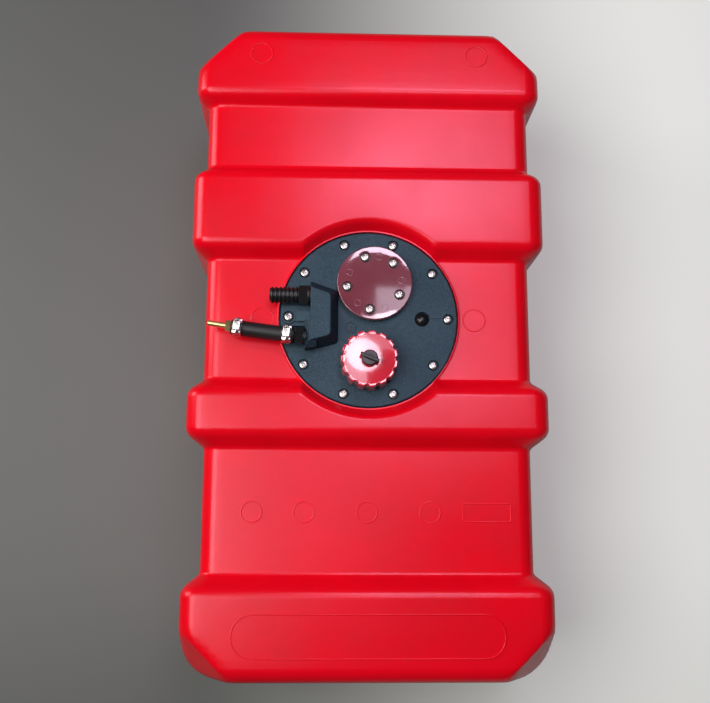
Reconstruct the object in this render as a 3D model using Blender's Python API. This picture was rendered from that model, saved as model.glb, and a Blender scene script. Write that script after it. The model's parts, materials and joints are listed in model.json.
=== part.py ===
# Portable marine fuel tank: a blow-moulded shell with four raised bands and a round flange
# that carries the filler, the vent tail, the fuel outlet and a blanked sender port.
# The tank lies flat. Origin at the middle of its footprint, +Z up, +Y along the tank.
# All lengths are in metres.

import math

import bmesh
import bpy
from mathutils import Matrix, Vector

# Shared clearances
GAP = 0.0003                    # left between pieces that touch
OVERRUN = 0.002                 # how far a cutting shape runs past the faces that it cuts
WELD = 0.000001                 # points closer than this are one point

# Tank shell: bands and valleys from the near end (-Y) to the far end (+Y)
NEAR_BAND_LENGTH = 0.093        # each measured between the middles of its slopes
NEAR_VALLEY_LENGTH = 0.1315
THIRD_BAND_LENGTH = 0.0535
PORT_VALLEY_LENGTH = 0.132
SECOND_BAND_LENGTH = 0.0835
FAR_VALLEY_LENGTH = 0.0755
FAR_BAND_LENGTH = 0.081
NEAR_VALLEY_DEPTH = 0.0165
PORT_VALLEY_DEPTH = 0.0145
FAR_VALLEY_DEPTH = 0.0115
TANK_WIDTH = 0.357
TANK_HEIGHT = 0.230
TANK_WALL = 0.005
TANK_DRAFT = math.radians(2)    # the walls lean in above and below the parting line
EDGE_RADIUS = 0.017             # long edges and end edges
SLOPE_ANGLE = math.radians(52)  # between a band and a valley
CREST_RADIUS = 0.014
ROOT_RADIUS = 0.006
CORNER_RADIUS = 0.028           # upright corners, seen from above
CHAMFER_SIZE = 0.041            # plan size of the leaning corner facets at the shoulder
FACET_ANGLE = math.radians(62.5)
FACET_STRIP = 0.002             # least height of wall between a facet's foot and its top

# Raised seat for the flange, moulded into the port valley
FLANGE_DROP = 0.0115            # flange face below the tops of the bands
LIP_RISE = 0.0006               # lip above the flange face
LIP_WIDTH = 0.0034
POCKET_MARGIN = 0.002           # floor left round the lip where it cuts into a band
POCKET_EDGE = 0.004
SEAT_RING_DEPTH = 0.014         # thickness of the moulded ring under the flange
PORT_MARGIN = 0.012             # from the port to the screw circle
PILOT_DEPTH = 0.0105

# Flange and its gasket
FLANGE_RADIUS = 0.0875
FLANGE_THICKNESS = 0.006
FLANGE_CLEARANCE = 0.0006
FLANGE_EDGE = 0.0012
GASKET_THICKNESS = 0.002
SPIGOT_CLEARANCE = 0.001        # between the centring ring under the flange and the port
SPIGOT_WALL = 0.003
SPIGOT_DEPTH = 0.009
FLANGE_SCREW_COUNT = 10
FLANGE_SCREW_EDGE = 0.0095      # from the screw circle to the rim of the flange
COUNTERBORE_RADIUS = 0.0056
COUNTERBORE_DEPTH = 0.003

# Pan-head screws, all of one head
SCREW_HEAD_RADIUS = 0.00425
SCREW_HEAD_HEIGHT = 0.0028
SCREW_HEAD_ROUND = 0.0012
SCREW_SHANK_RADIUS = 0.002
FLANGE_SCREW_REACH = 0.008      # length in the tank
COVER_SCREW_REACH = 0.0065      # length in the flange
HOUSING_SCREW_REACH = 0.009     # length in the housing

# Blanked sender port
SENDER_X = 0.0055               # from the flange centre
SENDER_Y = 0.0342
SENDER_BOSS_RADIUS = 0.0355
SENDER_BOSS_HEIGHT = 0.0025
SENDER_HOLE_RADIUS = 0.0205
SENDER_SCREW_CIRCLE = 0.027
SENDER_SCREW_ANGLES = [math.radians(angle) for angle in (110, 47, -26, -100, -171)]
SENDER_PILOT_MARGIN = 0.0008
COVER_RADIUS = 0.0367
COVER_THICKNESS = 0.0045
COVER_EDGE = 0.0014
COVER_COUNTERBORE_DEPTH = 0.0014
COVER_COUNTERBORE_RADIUS = 0.0051
COVER_STIFFENER_RADIUS = 0.0185
COVER_STIFFENER_DEPTH = 0.003
SENDER_GASKET_THICKNESS = 0.0015

# Filler neck, cap and vent knob
FILLER_Y = -0.043               # from the flange centre
NECK_RADIUS = 0.0206
NECK_BORE_RADIUS = 0.0172
NECK_HEIGHT = 0.017             # above the flange face
NECK_SEAT_DEPTH = 0.003         # the neck stands this deep in the flange
CAP_RADIUS = 0.02725
CAP_THREAD_SPACE = 0.0026       # left for the thread between neck and cap
CAP_LIFT = 0.0028               # rim of the closed cap above the flange face
CAP_CEILING = 0.0042
CAP_EDGE = 0.0016
CAP_DISH_SLOPE = 0.0018         # width of the slope round the dish
CAP_DISH_RADIUS = 0.0215
CAP_DISH_DEPTH = 0.0009
CAP_NOTCH_COUNT = 15
CAP_NOTCH_RADIUS = 0.0026
CAP_NOTCH_REACH = 0.0022
CAP_GASKET_THICKNESS = 0.002
CAP_GASKET_MARGIN = 0.0006
KNOB_RADIUS = 0.0075
KNOB_HEIGHT = 0.0065
KNOB_STEM_RADIUS = 0.0018
KNOB_THREAD_SPACE = 0.0024      # left for the thread between the stem and the cap
KNOB_BAR_LENGTH = 0.0190
KNOB_BAR_WIDTH = 0.0040
KNOB_BAR_HEIGHT = 0.0030
KNOB_BAR_ANGLE = math.radians(-23)
KNOB_EDGE = 0.0008
VENT_SEAT_DEPTH = 0.0011        # recess for the seal in the top of the cap
VENT_RING_RADIUS = 0.0052
VENT_RING_SECTION = 0.0008

# Blank port with its plug
PLUG_X = 0.0525                 # from the flange centre
PLUG_RADIUS = 0.0046
PLUG_HEAD_RADIUS = 0.0064
PLUG_HEAD_HEIGHT = 0.0016
PLUG_DOME_HEIGHT = 0.0022
PLUG_RECESS_RADIUS = 0.0075
PLUG_RECESS_DEPTH = 0.0040
PLUG_BOSS_WALL = 0.0025
PLUG_BOSS_DEPTH = 0.0050        # below the plate of the flange
PLUG_LENGTH = 0.0080            # from the seat of its head

# Outlet housing: plan corners from the flange centre, at its foot
HOUSING_LEFT = -0.0572
HOUSING_RIGHT = -0.0295
HOUSING_FAR_LEFT = 0.0371       # distance along Y of each plan corner
HOUSING_FAR_RIGHT = 0.0276
HOUSING_NEAR_LEFT = -0.0323
HOUSING_NEAR_RIGHT = -0.0247
HOUSING_HEIGHT = 0.0220
HOUSING_FAR_LEAN = 0.0100       # how far each wall leans in over its height
HOUSING_NEAR_LEAN = 0.0065
HOUSING_RIGHT_LEAN = 0.0075
HOUSING_LEFT_LEAN = 0.0007
HOUSING_ROUND = 0.0045
HOUSING_EDGE = 0.0009
OUTLET_BLOCK_STEP = 0.0046      # how far the outlet block stands out of the left wall
OUTLET_BLOCK_FAR = -0.0050
OUTLET_BLOCK_LEAN = 0.0040
OUTLET_BLOCK_HEIGHT = 0.0205
OUTLET_BLOCK_SHOULDER = 0.0154  # where its outer walls start to lean
OUTLET_BLOCK_OVERLAP = 0.0065   # into the housing
LUG_LENGTH = 0.0280
LUG_FAR = 0.0113
LUG_NEAR = -0.0088
LUG_THICKNESS = 0.0050
LUG_BOSS_RADIUS = 0.0071
LUG_BOSS_HEIGHT = 0.0072
LUG_WEB_WIDTH = 0.0090
LUG_WEB_HEIGHT = 0.0120
PORT_AXIS_HEIGHT = 0.0125       # fitting axes above the flange face
HOUSING_SCREW_FAR = 0.0080      # places of the two screws from below, along Y
HOUSING_SCREW_NEAR = -0.0080
HOUSING_SCREW_X = -0.0440
DUCT_RADIUS = 0.0025
DUCT_X = -0.0460
PORT_RING_RADIUS = 0.0056
PORT_RING_SECTION = 0.00065
PORT_RING_MARGIN = 0.0005

# Vent hose tail
VENT_Y = 0.0199                 # from the flange centre
TAIL_HEX_FLATS = 0.0173
TAIL_HEX_LENGTH = 0.0085
TAIL_COLLAR_RADIUS = 0.0098
TAIL_COLLAR_LENGTH = 0.0018
TAIL_RIB_COUNT = 7
TAIL_RIB_PITCH = 0.0039
TAIL_CORE_RADIUS = 0.0070
TAIL_RIB_RADIUS = 0.0081
TAIL_BORE_RADIUS = 0.0045
TAIL_SHANK_RADIUS = 0.0060
TAIL_SHANK_LENGTH = 0.0070
WASHER_THICKNESS = 0.0010
WASHER_MARGIN = 0.0008

# Fuel outlet fitting
OUTLET_Y = -0.0207              # from the flange centre
OUTLET_TURN = math.radians(6)   # the outlet points this far off -X, towards +Y
SPOT_FACE_DEPTH = 0.0010        # flat milled into the housing wall under each fitting
SPOT_FACE_MARGIN = 0.0006
OUTLET_HEX_FLATS = 0.0150
OUTLET_HEX_LENGTH = 0.0075
OUTLET_COLLAR_RADIUS = 0.0080
OUTLET_COLLAR_LENGTH = 0.0010
OUTLET_BARB_LENGTH = 0.0210
OUTLET_BARB_COUNT = 4
BARB_CORE_RADIUS = 0.0034
BARB_CREST_RADIUS = 0.0042
BARB_BORE_RADIUS = 0.0020
BARB_CREST_SHARE = 0.3          # place of each crest along its tooth
OUTLET_SHANK_RADIUS = 0.0048
OUTLET_SHANK_LENGTH = 0.0070

# Fuel hose, its clamps and the brass nipple
HOSE_RADIUS = 0.0075
HOSE_BORE_RADIUS = 0.0045
HOSE_LENGTH = 0.0605
HOSE_BEND = math.radians(3)     # how far the hose turns on over its length
HOSE_STAND_OFF = 0.0012         # between the hose end and the hexagon behind it
CLAMP_WIDTH = 0.0088
CLAMP_THICKNESS = 0.0008
CLAMP_OUTLET_PLACE = 0.0068     # middle of each clamp from its own end of the hose
CLAMP_NIPPLE_PLACE = 0.0062
CLAMP_BLOCK_LENGTH = 0.0100
CLAMP_BLOCK_HEIGHT = 0.0046
CLAMP_SCREW_RADIUS = 0.0015
CLAMP_SCREW_LENGTH = 0.0135
CLAMP_HEAD_RADIUS = 0.0028
CLAMP_HEAD_HEIGHT = 0.0024
CLAMP_HEAD_SLOT_WIDTH = 0.0008
CLAMP_HEAD_SLOT_DEPTH = 0.0010
NIPPLE_HEX_FLATS = 0.0100
NIPPLE_HEX_LENGTH = 0.0050
NIPPLE_STAND_OFF = 0.0006
NIPPLE_TUBE_RADIUS = 0.0028
NIPPLE_TUBE_LENGTH = 0.0176
NIPPLE_TUBE_BORE = 0.0015
NIPPLE_BARB_LENGTH = 0.0160
NIPPLE_BARB_COUNT = 3

# Pickup inside the tank
PICKUP_RADIUS = 0.0050
PICKUP_WALL = 0.0012
PICKUP_FLOOR_GAP = 0.0060       # strainer above the inner floor of the tank
PICKUP_SOCKET_WALL = 0.0025
PICKUP_SOCKET_DEPTH = 0.0140
STRAINER_RADIUS = 0.0095
STRAINER_LENGTH = 0.0340
STRAINER_OVERLAP = 0.0100
STRAINER_WALL = 0.0015

# Facet counts
BIG_STEPS = 40
CAP_STEPS = 30
MEDIUM_STEPS = 32
TAIL_STEPS = 24
SMALL_STEPS = 16
DRILL_STEPS = 12
SCREW_STEPS = 10
RING_STEPS = 8
SEAL_STEPS = 6
HOSE_STEPS = 4
ARC_STEPS = 3
HALVINGS = 24
TANK_FINENESS = {"edge_steps": 4, "turn_steps": 6, "crest_steps": 2, "root_steps": 2}
CAVITY_FINENESS = {"edge_steps": 2, "turn_steps": 3, "crest_steps": 2, "root_steps": 1}

# Values worked out from the sizes above
TANK_LENGTH = (NEAR_BAND_LENGTH + NEAR_VALLEY_LENGTH + THIRD_BAND_LENGTH + PORT_VALLEY_LENGTH
               + SECOND_BAND_LENGTH + FAR_VALLEY_LENGTH + FAR_BAND_LENGTH)
PORT_VALLEY_START = (NEAR_BAND_LENGTH + NEAR_VALLEY_LENGTH + THIRD_BAND_LENGTH) - TANK_LENGTH / 2
FLANGE_Y = PORT_VALLEY_START + PORT_VALLEY_LENGTH / 2
FLANGE_TOP = TANK_HEIGHT - FLANGE_DROP
FLANGE_FOOT = FLANGE_TOP - FLANGE_THICKNESS
SEAT_TOP = FLANGE_FOOT - GASKET_THICKNESS - 2 * GAP
RECESS_RADIUS = FLANGE_RADIUS + FLANGE_CLEARANCE
FLANGE_SCREW_CIRCLE = FLANGE_RADIUS - FLANGE_SCREW_EDGE
PORT_RADIUS = FLANGE_SCREW_CIRCLE - PORT_MARGIN
END_SHOULDER = TANK_HEIGHT / 2 - EDGE_RADIUS    # height of the plain walls at the ends
BOSS_RADIUS = RECESS_RADIUS + LIP_WIDTH
POCKET_RADIUS = BOSS_RADIUS + POCKET_MARGIN
LIP_TOP = FLANGE_TOP + LIP_RISE
NECK_TOP = FLANGE_TOP + NECK_HEIGHT
CAP_BORE_RADIUS = NECK_RADIUS + CAP_THREAD_SPACE
CAP_FOOT = FLANGE_TOP + CAP_LIFT
CAP_CEILING_FACE = NECK_TOP + CAP_GASKET_THICKNESS + 2 * GAP
CAP_TOP = CAP_CEILING_FACE + CAP_CEILING
SENDER_BOSS_TOP = FLANGE_TOP + SENDER_BOSS_HEIGHT
COVER_FOOT = SENDER_BOSS_TOP + SENDER_GASKET_THICKNESS + 2 * GAP
HOUSING_FOOT = FLANGE_TOP + GAP
PORT_AXIS = FLANGE_TOP + PORT_AXIS_HEIGHT
SCREW_HOLE_RADIUS = SCREW_SHANK_RADIUS + GAP
TANK_FLOOR = PORT_VALLEY_DEPTH + TANK_WALL      # inside, under the port valley


# Materials

def material(name, colour, roughness, metallic):
    finish = bpy.data.materials.new(name)
    finish.use_nodes = True
    shader = finish.node_tree.nodes["Principled BSDF"]
    shader.inputs["Base Color"].default_value = (*colour, 1)
    shader.inputs["Roughness"].default_value = roughness
    shader.inputs["Metallic"].default_value = metallic
    return finish


def piece_material(name, kind):
    looks = {
        "tank": ((0.78, 0.01, 0.02), 0.42, 0.0),
        "cap": ((0.70, 0.02, 0.04), 0.22, 0.0),
        "cover": ((0.25, 0.02, 0.04), 0.15, 0.0),
        "black": ((0.02, 0.022, 0.025), 0.45, 0.0),
        "rubber": ((0.015, 0.015, 0.016), 0.60, 0.0),
        "steel": ((0.62, 0.61, 0.58), 0.28, 1.0),
        "brass": ((0.76, 0.58, 0.26), 0.30, 1.0),
        "clear": ((0.80, 0.80, 0.74), 0.35, 0.0),
    }
    colour, roughness, metallic = looks[kind]
    return material(name, colour, roughness, metallic)


# Building blocks

def place(name, mesh, kind, frame=None, smooth=math.radians(35)):
    """Add a mesh as one named piece, standing in the given frame."""
    mesh.shade_smooth()
    mesh.set_sharp_from_angle(angle=smooth)
    mesh.materials.append(piece_material(name, kind))
    piece = bpy.data.objects.new(name, mesh)
    piece.matrix_world = frame or Matrix.Identity(4)
    bpy.context.scene.collection.objects.link(piece)
    return piece


def shape(piece, tools, operation):
    """Join shapes to a piece or cut them from it, with one live Boolean each."""
    for tool in tools:
        tool.hide_render = True
        tool.display_type = "WIRE"
        step = piece.modifiers.new(tool.name, "BOOLEAN")
        step.operation = operation
        step.solver = "EXACT"
        step.object = tool


def tool_object(name, mesh, frame=None):
    tool = bpy.data.objects.new(name, mesh)
    tool.matrix_world = frame or Matrix.Identity(4)
    bpy.context.scene.collection.objects.link(tool)
    return tool


def mesh_from(bm, name):
    bmesh.ops.remove_doubles(bm, verts=bm.verts, dist=WELD)
    bmesh.ops.recalc_face_normals(bm, faces=bm.faces)
    mesh = bpy.data.meshes.new(name)
    bm.to_mesh(mesh)
    bm.free()
    return mesh


def turned(name, outline, steps):
    """Revolve an outline of (radius, height) points about Z."""
    bm = bmesh.new()
    points = [bm.verts.new((radius, 0, height)) for radius, height in outline]
    edges = []
    for start, end in zip(points, points[1:] + points[:1]):
        if start.co.x > 0 or end.co.x > 0:
            edges.append(bm.edges.new((start, end)))
    bmesh.ops.spin(bm, geom=points + edges, cent=(0, 0, 0), axis=(0, 0, 1),
                   angle=math.tau, steps=steps)
    bmesh.ops.remove_doubles(bm, verts=bm.verts, dist=WELD)
    flat_centres = []
    for point in bm.verts:
        level = all(abs(edge.other_vert(point).co.z - point.co.z) < WELD
                    for edge in point.link_edges)
        if level and point.co.xy.length < WELD:
            flat_centres.append(point)
    bmesh.ops.dissolve_verts(bm, verts=flat_centres)
    return mesh_from(bm, name)


def gathered(name, parts):
    """Several shapes that don't touch one another, as (mesh, x, y), in one mesh."""
    bm = bmesh.new()
    for mesh, x, y in parts:
        mesh.transform(Matrix.Translation((x, y, 0)))
        bm.from_mesh(mesh)
    return mesh_from(bm, name)


def disc(name, radius, low, high, steps):
    return turned(name, straight(radius, low, high), steps)


def tube(name, bore, radius, low, high, steps):
    return turned(name, [(bore, low), (radius, low), (radius, high), (bore, high)], steps)


def add_band(bm, low, high):
    """Quads between two rings of equal count."""
    for index in range(len(low)):
        after = (index + 1) % len(low)
        bm.faces.new((low[index], low[after], high[after], high[index]))


def lofted(name, rings):
    """Skin a row of closed rings that have equal counts, and close both ends."""
    bm = bmesh.new()
    rows = [[bm.verts.new(point) for point in ring] for ring in rings]
    for low, high in zip(rows, rows[1:]):
        add_band(bm, low, high)
    bm.faces.new(list(reversed(rows[0])))
    bm.faces.new(rows[-1])
    return mesh_from(bm, name)


def prism(name, outline, low, high):
    return lofted(name, [[(x, y, height) for x, y in outline] for height in (low, high)])


def block(name, low, high):
    outline = [(low[0], low[1]), (high[0], low[1]), (high[0], high[1]), (low[0], high[1])]
    return prism(name, outline, low[2], high[2])


def drills(name, centres, outline, steps):
    """The same turned drill at several places, in one mesh."""
    return gathered(name, [(turned(name, outline, steps), x, y) for x, y in centres])


def straight(radius, low, high):
    return [(0, low), (radius, low), (radius, high), (0, high)]


def stepped(small, large, low, step, high):
    """Outline of a drill that is wider above the step."""
    return [(0, low), (small, low), (small, step), (large, step), (large, high), (0, high)]


def arc(centre_x, centre_y, radius, start, end, steps):
    points = []
    for step in range(steps + 1):
        angle = start + (end - start) * step / steps
        points.append((centre_x + radius * math.cos(angle), centre_y + radius * math.sin(angle)))
    return points


def circle_places(count, radius, start=0.0):
    places = []
    for index in range(count):
        angle = start + math.tau * index / count
        places.append((radius * math.cos(angle), radius * math.sin(angle)))
    return places


def hexagon_radius(flats, angle):
    """Distance from the middle to a hexagon whose flats face 0, 60, 120 ... degrees."""
    sixth = math.pi / 3
    return flats / 2 / math.cos((angle + sixth / 2) % sixth - sixth / 2)


def skinned(name, sections, steps):
    """Hollow piece from a closed row of (size, height, shape) sections, round or hexagonal."""
    bm = bmesh.new()
    rows = []
    for size, height, form in sections:
        row = []
        for step in range(steps):
            angle = math.tau * step / steps
            radius = size if form == "round" else hexagon_radius(size, angle)
            row.append(bm.verts.new((radius * math.cos(angle), radius * math.sin(angle), height)))
        rows.append(row)
    for low, high in zip(rows, rows[1:] + rows[:1]):
        add_band(bm, low, high)
    return mesh_from(bm, name)


def round_sections(outline):
    return [(radius, height, "round") for radius, height in outline]


def hexagon_sections(flats, start, length):
    return [(flats, start, "hexagon"), (flats, start + length, "hexagon")]


def upright(x, y, height):
    return Matrix.Translation((x, y, height))


def aimed(point, heading):
    """Frame whose Z runs level along the heading from -X, and whose X points up."""
    forward = Vector((-math.cos(heading), math.sin(heading), 0))
    up = Vector((0, 0, 1))
    side = forward.cross(up)
    turn = Matrix((up, side, forward)).transposed().to_4x4()
    return Matrix.Translation(point) @ turn


# Tank shell

def slope_points(depth, inset, crest_steps, root_steps):
    """Points of one slope as (distance from its middle, depth), from a band to a valley."""
    crest = CREST_RADIUS - inset
    root = ROOT_RADIUS + inset
    half_run = depth / (2 * math.tan(SLOPE_ANGLE))
    shift = -inset * math.tan(SLOPE_ANGLE / 2)
    crest_start = shift - half_run - crest * math.tan(SLOPE_ANGLE / 2)
    root_end = shift + half_run + root * math.tan(SLOPE_ANGLE / 2)
    points = []
    for step in range(crest_steps + 1):
        angle = SLOPE_ANGLE * step / crest_steps
        points.append((crest_start + crest * math.sin(angle), crest * (1 - math.cos(angle))))
    for step in range(root_steps + 1):
        angle = SLOPE_ANGLE * (1 - step / root_steps)
        points.append((root_end - root * math.sin(angle), depth - root * (1 - math.cos(angle))))
    return points


def valley_stations(inset, crest_steps, root_steps):
    """(place along Y, depth) of every section in the slopes, from the near end on."""
    layout = [
        (NEAR_BAND_LENGTH, NEAR_VALLEY_LENGTH, NEAR_VALLEY_DEPTH),
        (THIRD_BAND_LENGTH, PORT_VALLEY_LENGTH, PORT_VALLEY_DEPTH),
        (SECOND_BAND_LENGTH, FAR_VALLEY_LENGTH, FAR_VALLEY_DEPTH),
    ]
    stations = []
    start = -TANK_LENGTH / 2
    for band_length, valley_length, valley_depth in layout:
        near_middle = start + band_length
        far_middle = near_middle + valley_length
        slope = slope_points(valley_depth, inset, crest_steps, root_steps)
        stations += [(near_middle + along, depth) for along, depth in slope]
        stations += [(far_middle - along, depth) for along, depth in reversed(slope)]
        start = far_middle
    return stations


def section_levels(depth, inset, strip_foot, edge_steps):
    """(rise above the parting line, drop of the wall) from the parting line to the top face."""
    edge = EDGE_RADIUS - inset
    shoulder = TANK_HEIGHT / 2 - EDGE_RADIUS - depth
    levels = [(0, 0), (strip_foot, 0)]
    for step in range(edge_steps + 1):
        angle = math.pi / 2 * step / edge_steps
        levels.append((shoulder + edge * math.sin(angle), edge * (1 - math.cos(angle))))
    return levels


def wall_at(half_size, rise, depth, inset, drop):
    shoulder = TANK_HEIGHT / 2 - EDGE_RADIUS - depth
    return half_size - depth - inset - drop - min(rise, shoulder) * math.tan(TANK_DRAFT)


def corner_pole():
    """Plan point inside a corner from which every point of its outline is seen."""
    return Vector([wall_at(size / 2, END_SHOULDER, 0, 0, 0) - CHAMFER_SIZE
                   for size in (TANK_WIDTH, TANK_LENGTH)])


def wall_reach(ray, rise, cut):
    """Distance from the pole to the side wall, the end wall or the round between them."""
    pole = corner_pole()
    wall = Vector([wall_at(size / 2, min(rise, END_SHOULDER), 0, 0, 0)
                   for size in (TANK_WIDTH, TANK_LENGTH)])
    reaches = [(wall[axis] - cut - pole[axis]) / ray[axis] for axis in (0, 1)
               if ray[axis] > WELD]
    centre = wall - Vector((CORNER_RADIUS, CORNER_RADIUS))
    along = (centre - pole).dot(ray)
    aside = (centre - pole).length_squared - along ** 2
    radius = CORNER_RADIUS - cut
    if aside < radius ** 2:
        reach = along + math.sqrt(radius ** 2 - aside)
        hit = pole + ray * reach
        if hit.x > centre.x and hit.y > centre.y:
            reaches.append(reach)
    return min(reaches)


def facet_reach(ray, rise, cut):
    """Distance from the pole to the flat facet that leans in over the corner."""
    lean = (END_SHOULDER - min(rise, END_SHOULDER)) / math.tan(FACET_ANGLE)
    return (CHAMFER_SIZE + (lean - cut) * math.sqrt(2)) / (ray.x + ray.y)


def facet_foot(ray, inset):
    """Rise at which the facet meets the walls below it, along this ray."""
    low, high = 0, END_SHOULDER - FACET_STRIP
    for _ in range(HALVINGS):
        middle = (low + high) / 2
        if facet_reach(ray, middle, inset) > wall_reach(ray, middle, inset):
            low = middle
        else:
            high = middle
    return high


def full_ring(quarter):
    """Mirror a section's upper right quarter to all round the tank."""
    upper_left = [(-x, y, z) for x, y, z in reversed(quarter)]
    lower_left = [(-x, y, TANK_HEIGHT - z) for x, y, z in quarter[1:]]
    lower_right = [(x, y, TANK_HEIGHT - z) for x, y, z in reversed(quarter[1:])]
    return quarter + upper_left + lower_left + lower_right


def band_ring(along, depth, inset, fineness):
    strip_foot = TANK_HEIGHT / 2 - EDGE_RADIUS - depth - FACET_STRIP
    levels = section_levels(depth, inset, strip_foot, fineness["edge_steps"])
    return full_ring([(wall_at(TANK_WIDTH / 2, rise, depth, inset, drop), along,
                       TANK_HEIGHT / 2 + rise) for rise, drop in levels])


def corner_ring(turn, end_sign, inset, fineness):
    """Section of a corner along the ray that this turn from +X to +Y gives."""
    ray = Vector((max(math.cos(turn), 0), max(math.sin(turn), 0)))
    levels = section_levels(0, inset, facet_foot(ray, inset), fineness["edge_steps"])
    quarter = []
    for rise, drop in levels:
        cut = inset + drop
        point = corner_pole() + ray * min(wall_reach(ray, rise, cut),
                                          facet_reach(ray, rise, cut))
        quarter.append((point.x, point.y * end_sign, TANK_HEIGHT / 2 + rise))
    return full_ring(quarter)


def corner_turns(steps):
    """Turns from the side wall to the end wall, with the steps spread over the round."""
    first = math.atan2(CHAMFER_SIZE - CORNER_RADIUS, CHAMFER_SIZE)
    sweep = math.pi / 2 - 2 * first
    return [0] + [first + sweep * step / steps for step in range(steps + 1)] + [math.pi / 2]


def shell_form(name, inset, fineness):
    """The closed form of the tank, drawn in by an inset, as a row of rings along Y."""
    turns = corner_turns(fineness["turn_steps"])
    rings = [corner_ring(turn, -1, inset, fineness) for turn in reversed(turns)]
    rings += [band_ring(along, depth, inset, fineness) for along, depth
              in valley_stations(inset, fineness["crest_steps"], fineness["root_steps"])]
    rings += [corner_ring(turn, 1, inset, fineness) for turn in turns]
    bm = bmesh.new()
    rows = [[bm.verts.new(point) for point in ring] for ring in rings]
    for low, high in zip(rows, rows[1:]):
        add_band(bm, low, high)
    for row in (rows[0], rows[-1]):
        add_end_face(bm, row)
    return mesh_from(bm, name)


def add_end_face(bm, row):
    """Close an end ring with level strips from its right side to its left side."""
    count = len(row)
    levels = count // 4 + 1
    rights = [row[-index] for index in range(levels - 1, 0, -1)] + row[:levels]
    lefts = [row[levels * 2 - 1 + index] for index in range(levels - 1, 0, -1)]
    lefts += [row[levels * 2 - 1 - index] for index in range(levels)]
    for index in range(len(rights) - 1):
        corners = (rights[index], rights[index + 1], lefts[index + 1], lefts[index])
        bm.faces.new(corners)


def add_tank():
    """The hollow shell, with the raised seat and the port for the flange."""
    tank = place("tank_shell", shell_form("tank_shell", 0, TANK_FINENESS), "tank")
    centre = upright(0, FLANGE_Y, 0)

    cavity = tool_object("tank_cavity", shell_form("tank_cavity", TANK_WALL, CAVITY_FINENESS))
    ring_blank = disc("seat_ring_blank", POCKET_RADIUS + TANK_WALL, SEAT_TOP - SEAT_RING_DEPTH,
                      TANK_HEIGHT + OVERRUN, BIG_STEPS)
    shape(cavity, [tool_object("seat_ring_blank", ring_blank, centre)], "DIFFERENCE")

    boss = disc("flange_boss", BOSS_RADIUS, SEAT_TOP - SEAT_RING_DEPTH / 2,
                LIP_TOP + OVERRUN, BIG_STEPS)
    shape(tank, [tool_object("flange_boss", boss, centre)], "UNION")

    clear_height = TANK_HEIGHT + OVERRUN
    pocket_rim = arc(POCKET_RADIUS + POCKET_EDGE, TANK_HEIGHT - POCKET_EDGE, POCKET_EDGE,
                     math.pi, math.pi / 2, ARC_STEPS)
    port_floor = SEAT_TOP - SEAT_RING_DEPTH - OVERRUN
    opening = turned("flange_opening", [
        (0, port_floor), (PORT_RADIUS, port_floor), (PORT_RADIUS, SEAT_TOP),
        (RECESS_RADIUS, SEAT_TOP), (RECESS_RADIUS, LIP_TOP), (POCKET_RADIUS, LIP_TOP)]
        + pocket_rim + [(POCKET_RADIUS + POCKET_EDGE, clear_height), (0, clear_height)],
        BIG_STEPS)
    pilots = drills("pilot_holes", circle_places(FLANGE_SCREW_COUNT, FLANGE_SCREW_CIRCLE),
                    straight(SCREW_HOLE_RADIUS, SEAT_TOP - PILOT_DEPTH, SEAT_TOP + OVERRUN),
                    RING_STEPS)
    cuts = [cavity, tool_object("pilot_holes", pilots, centre),
            tool_object("flange_opening", opening, centre)]
    shape(tank, cuts, "DIFFERENCE")


# Flange, its gasket and its screws

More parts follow.
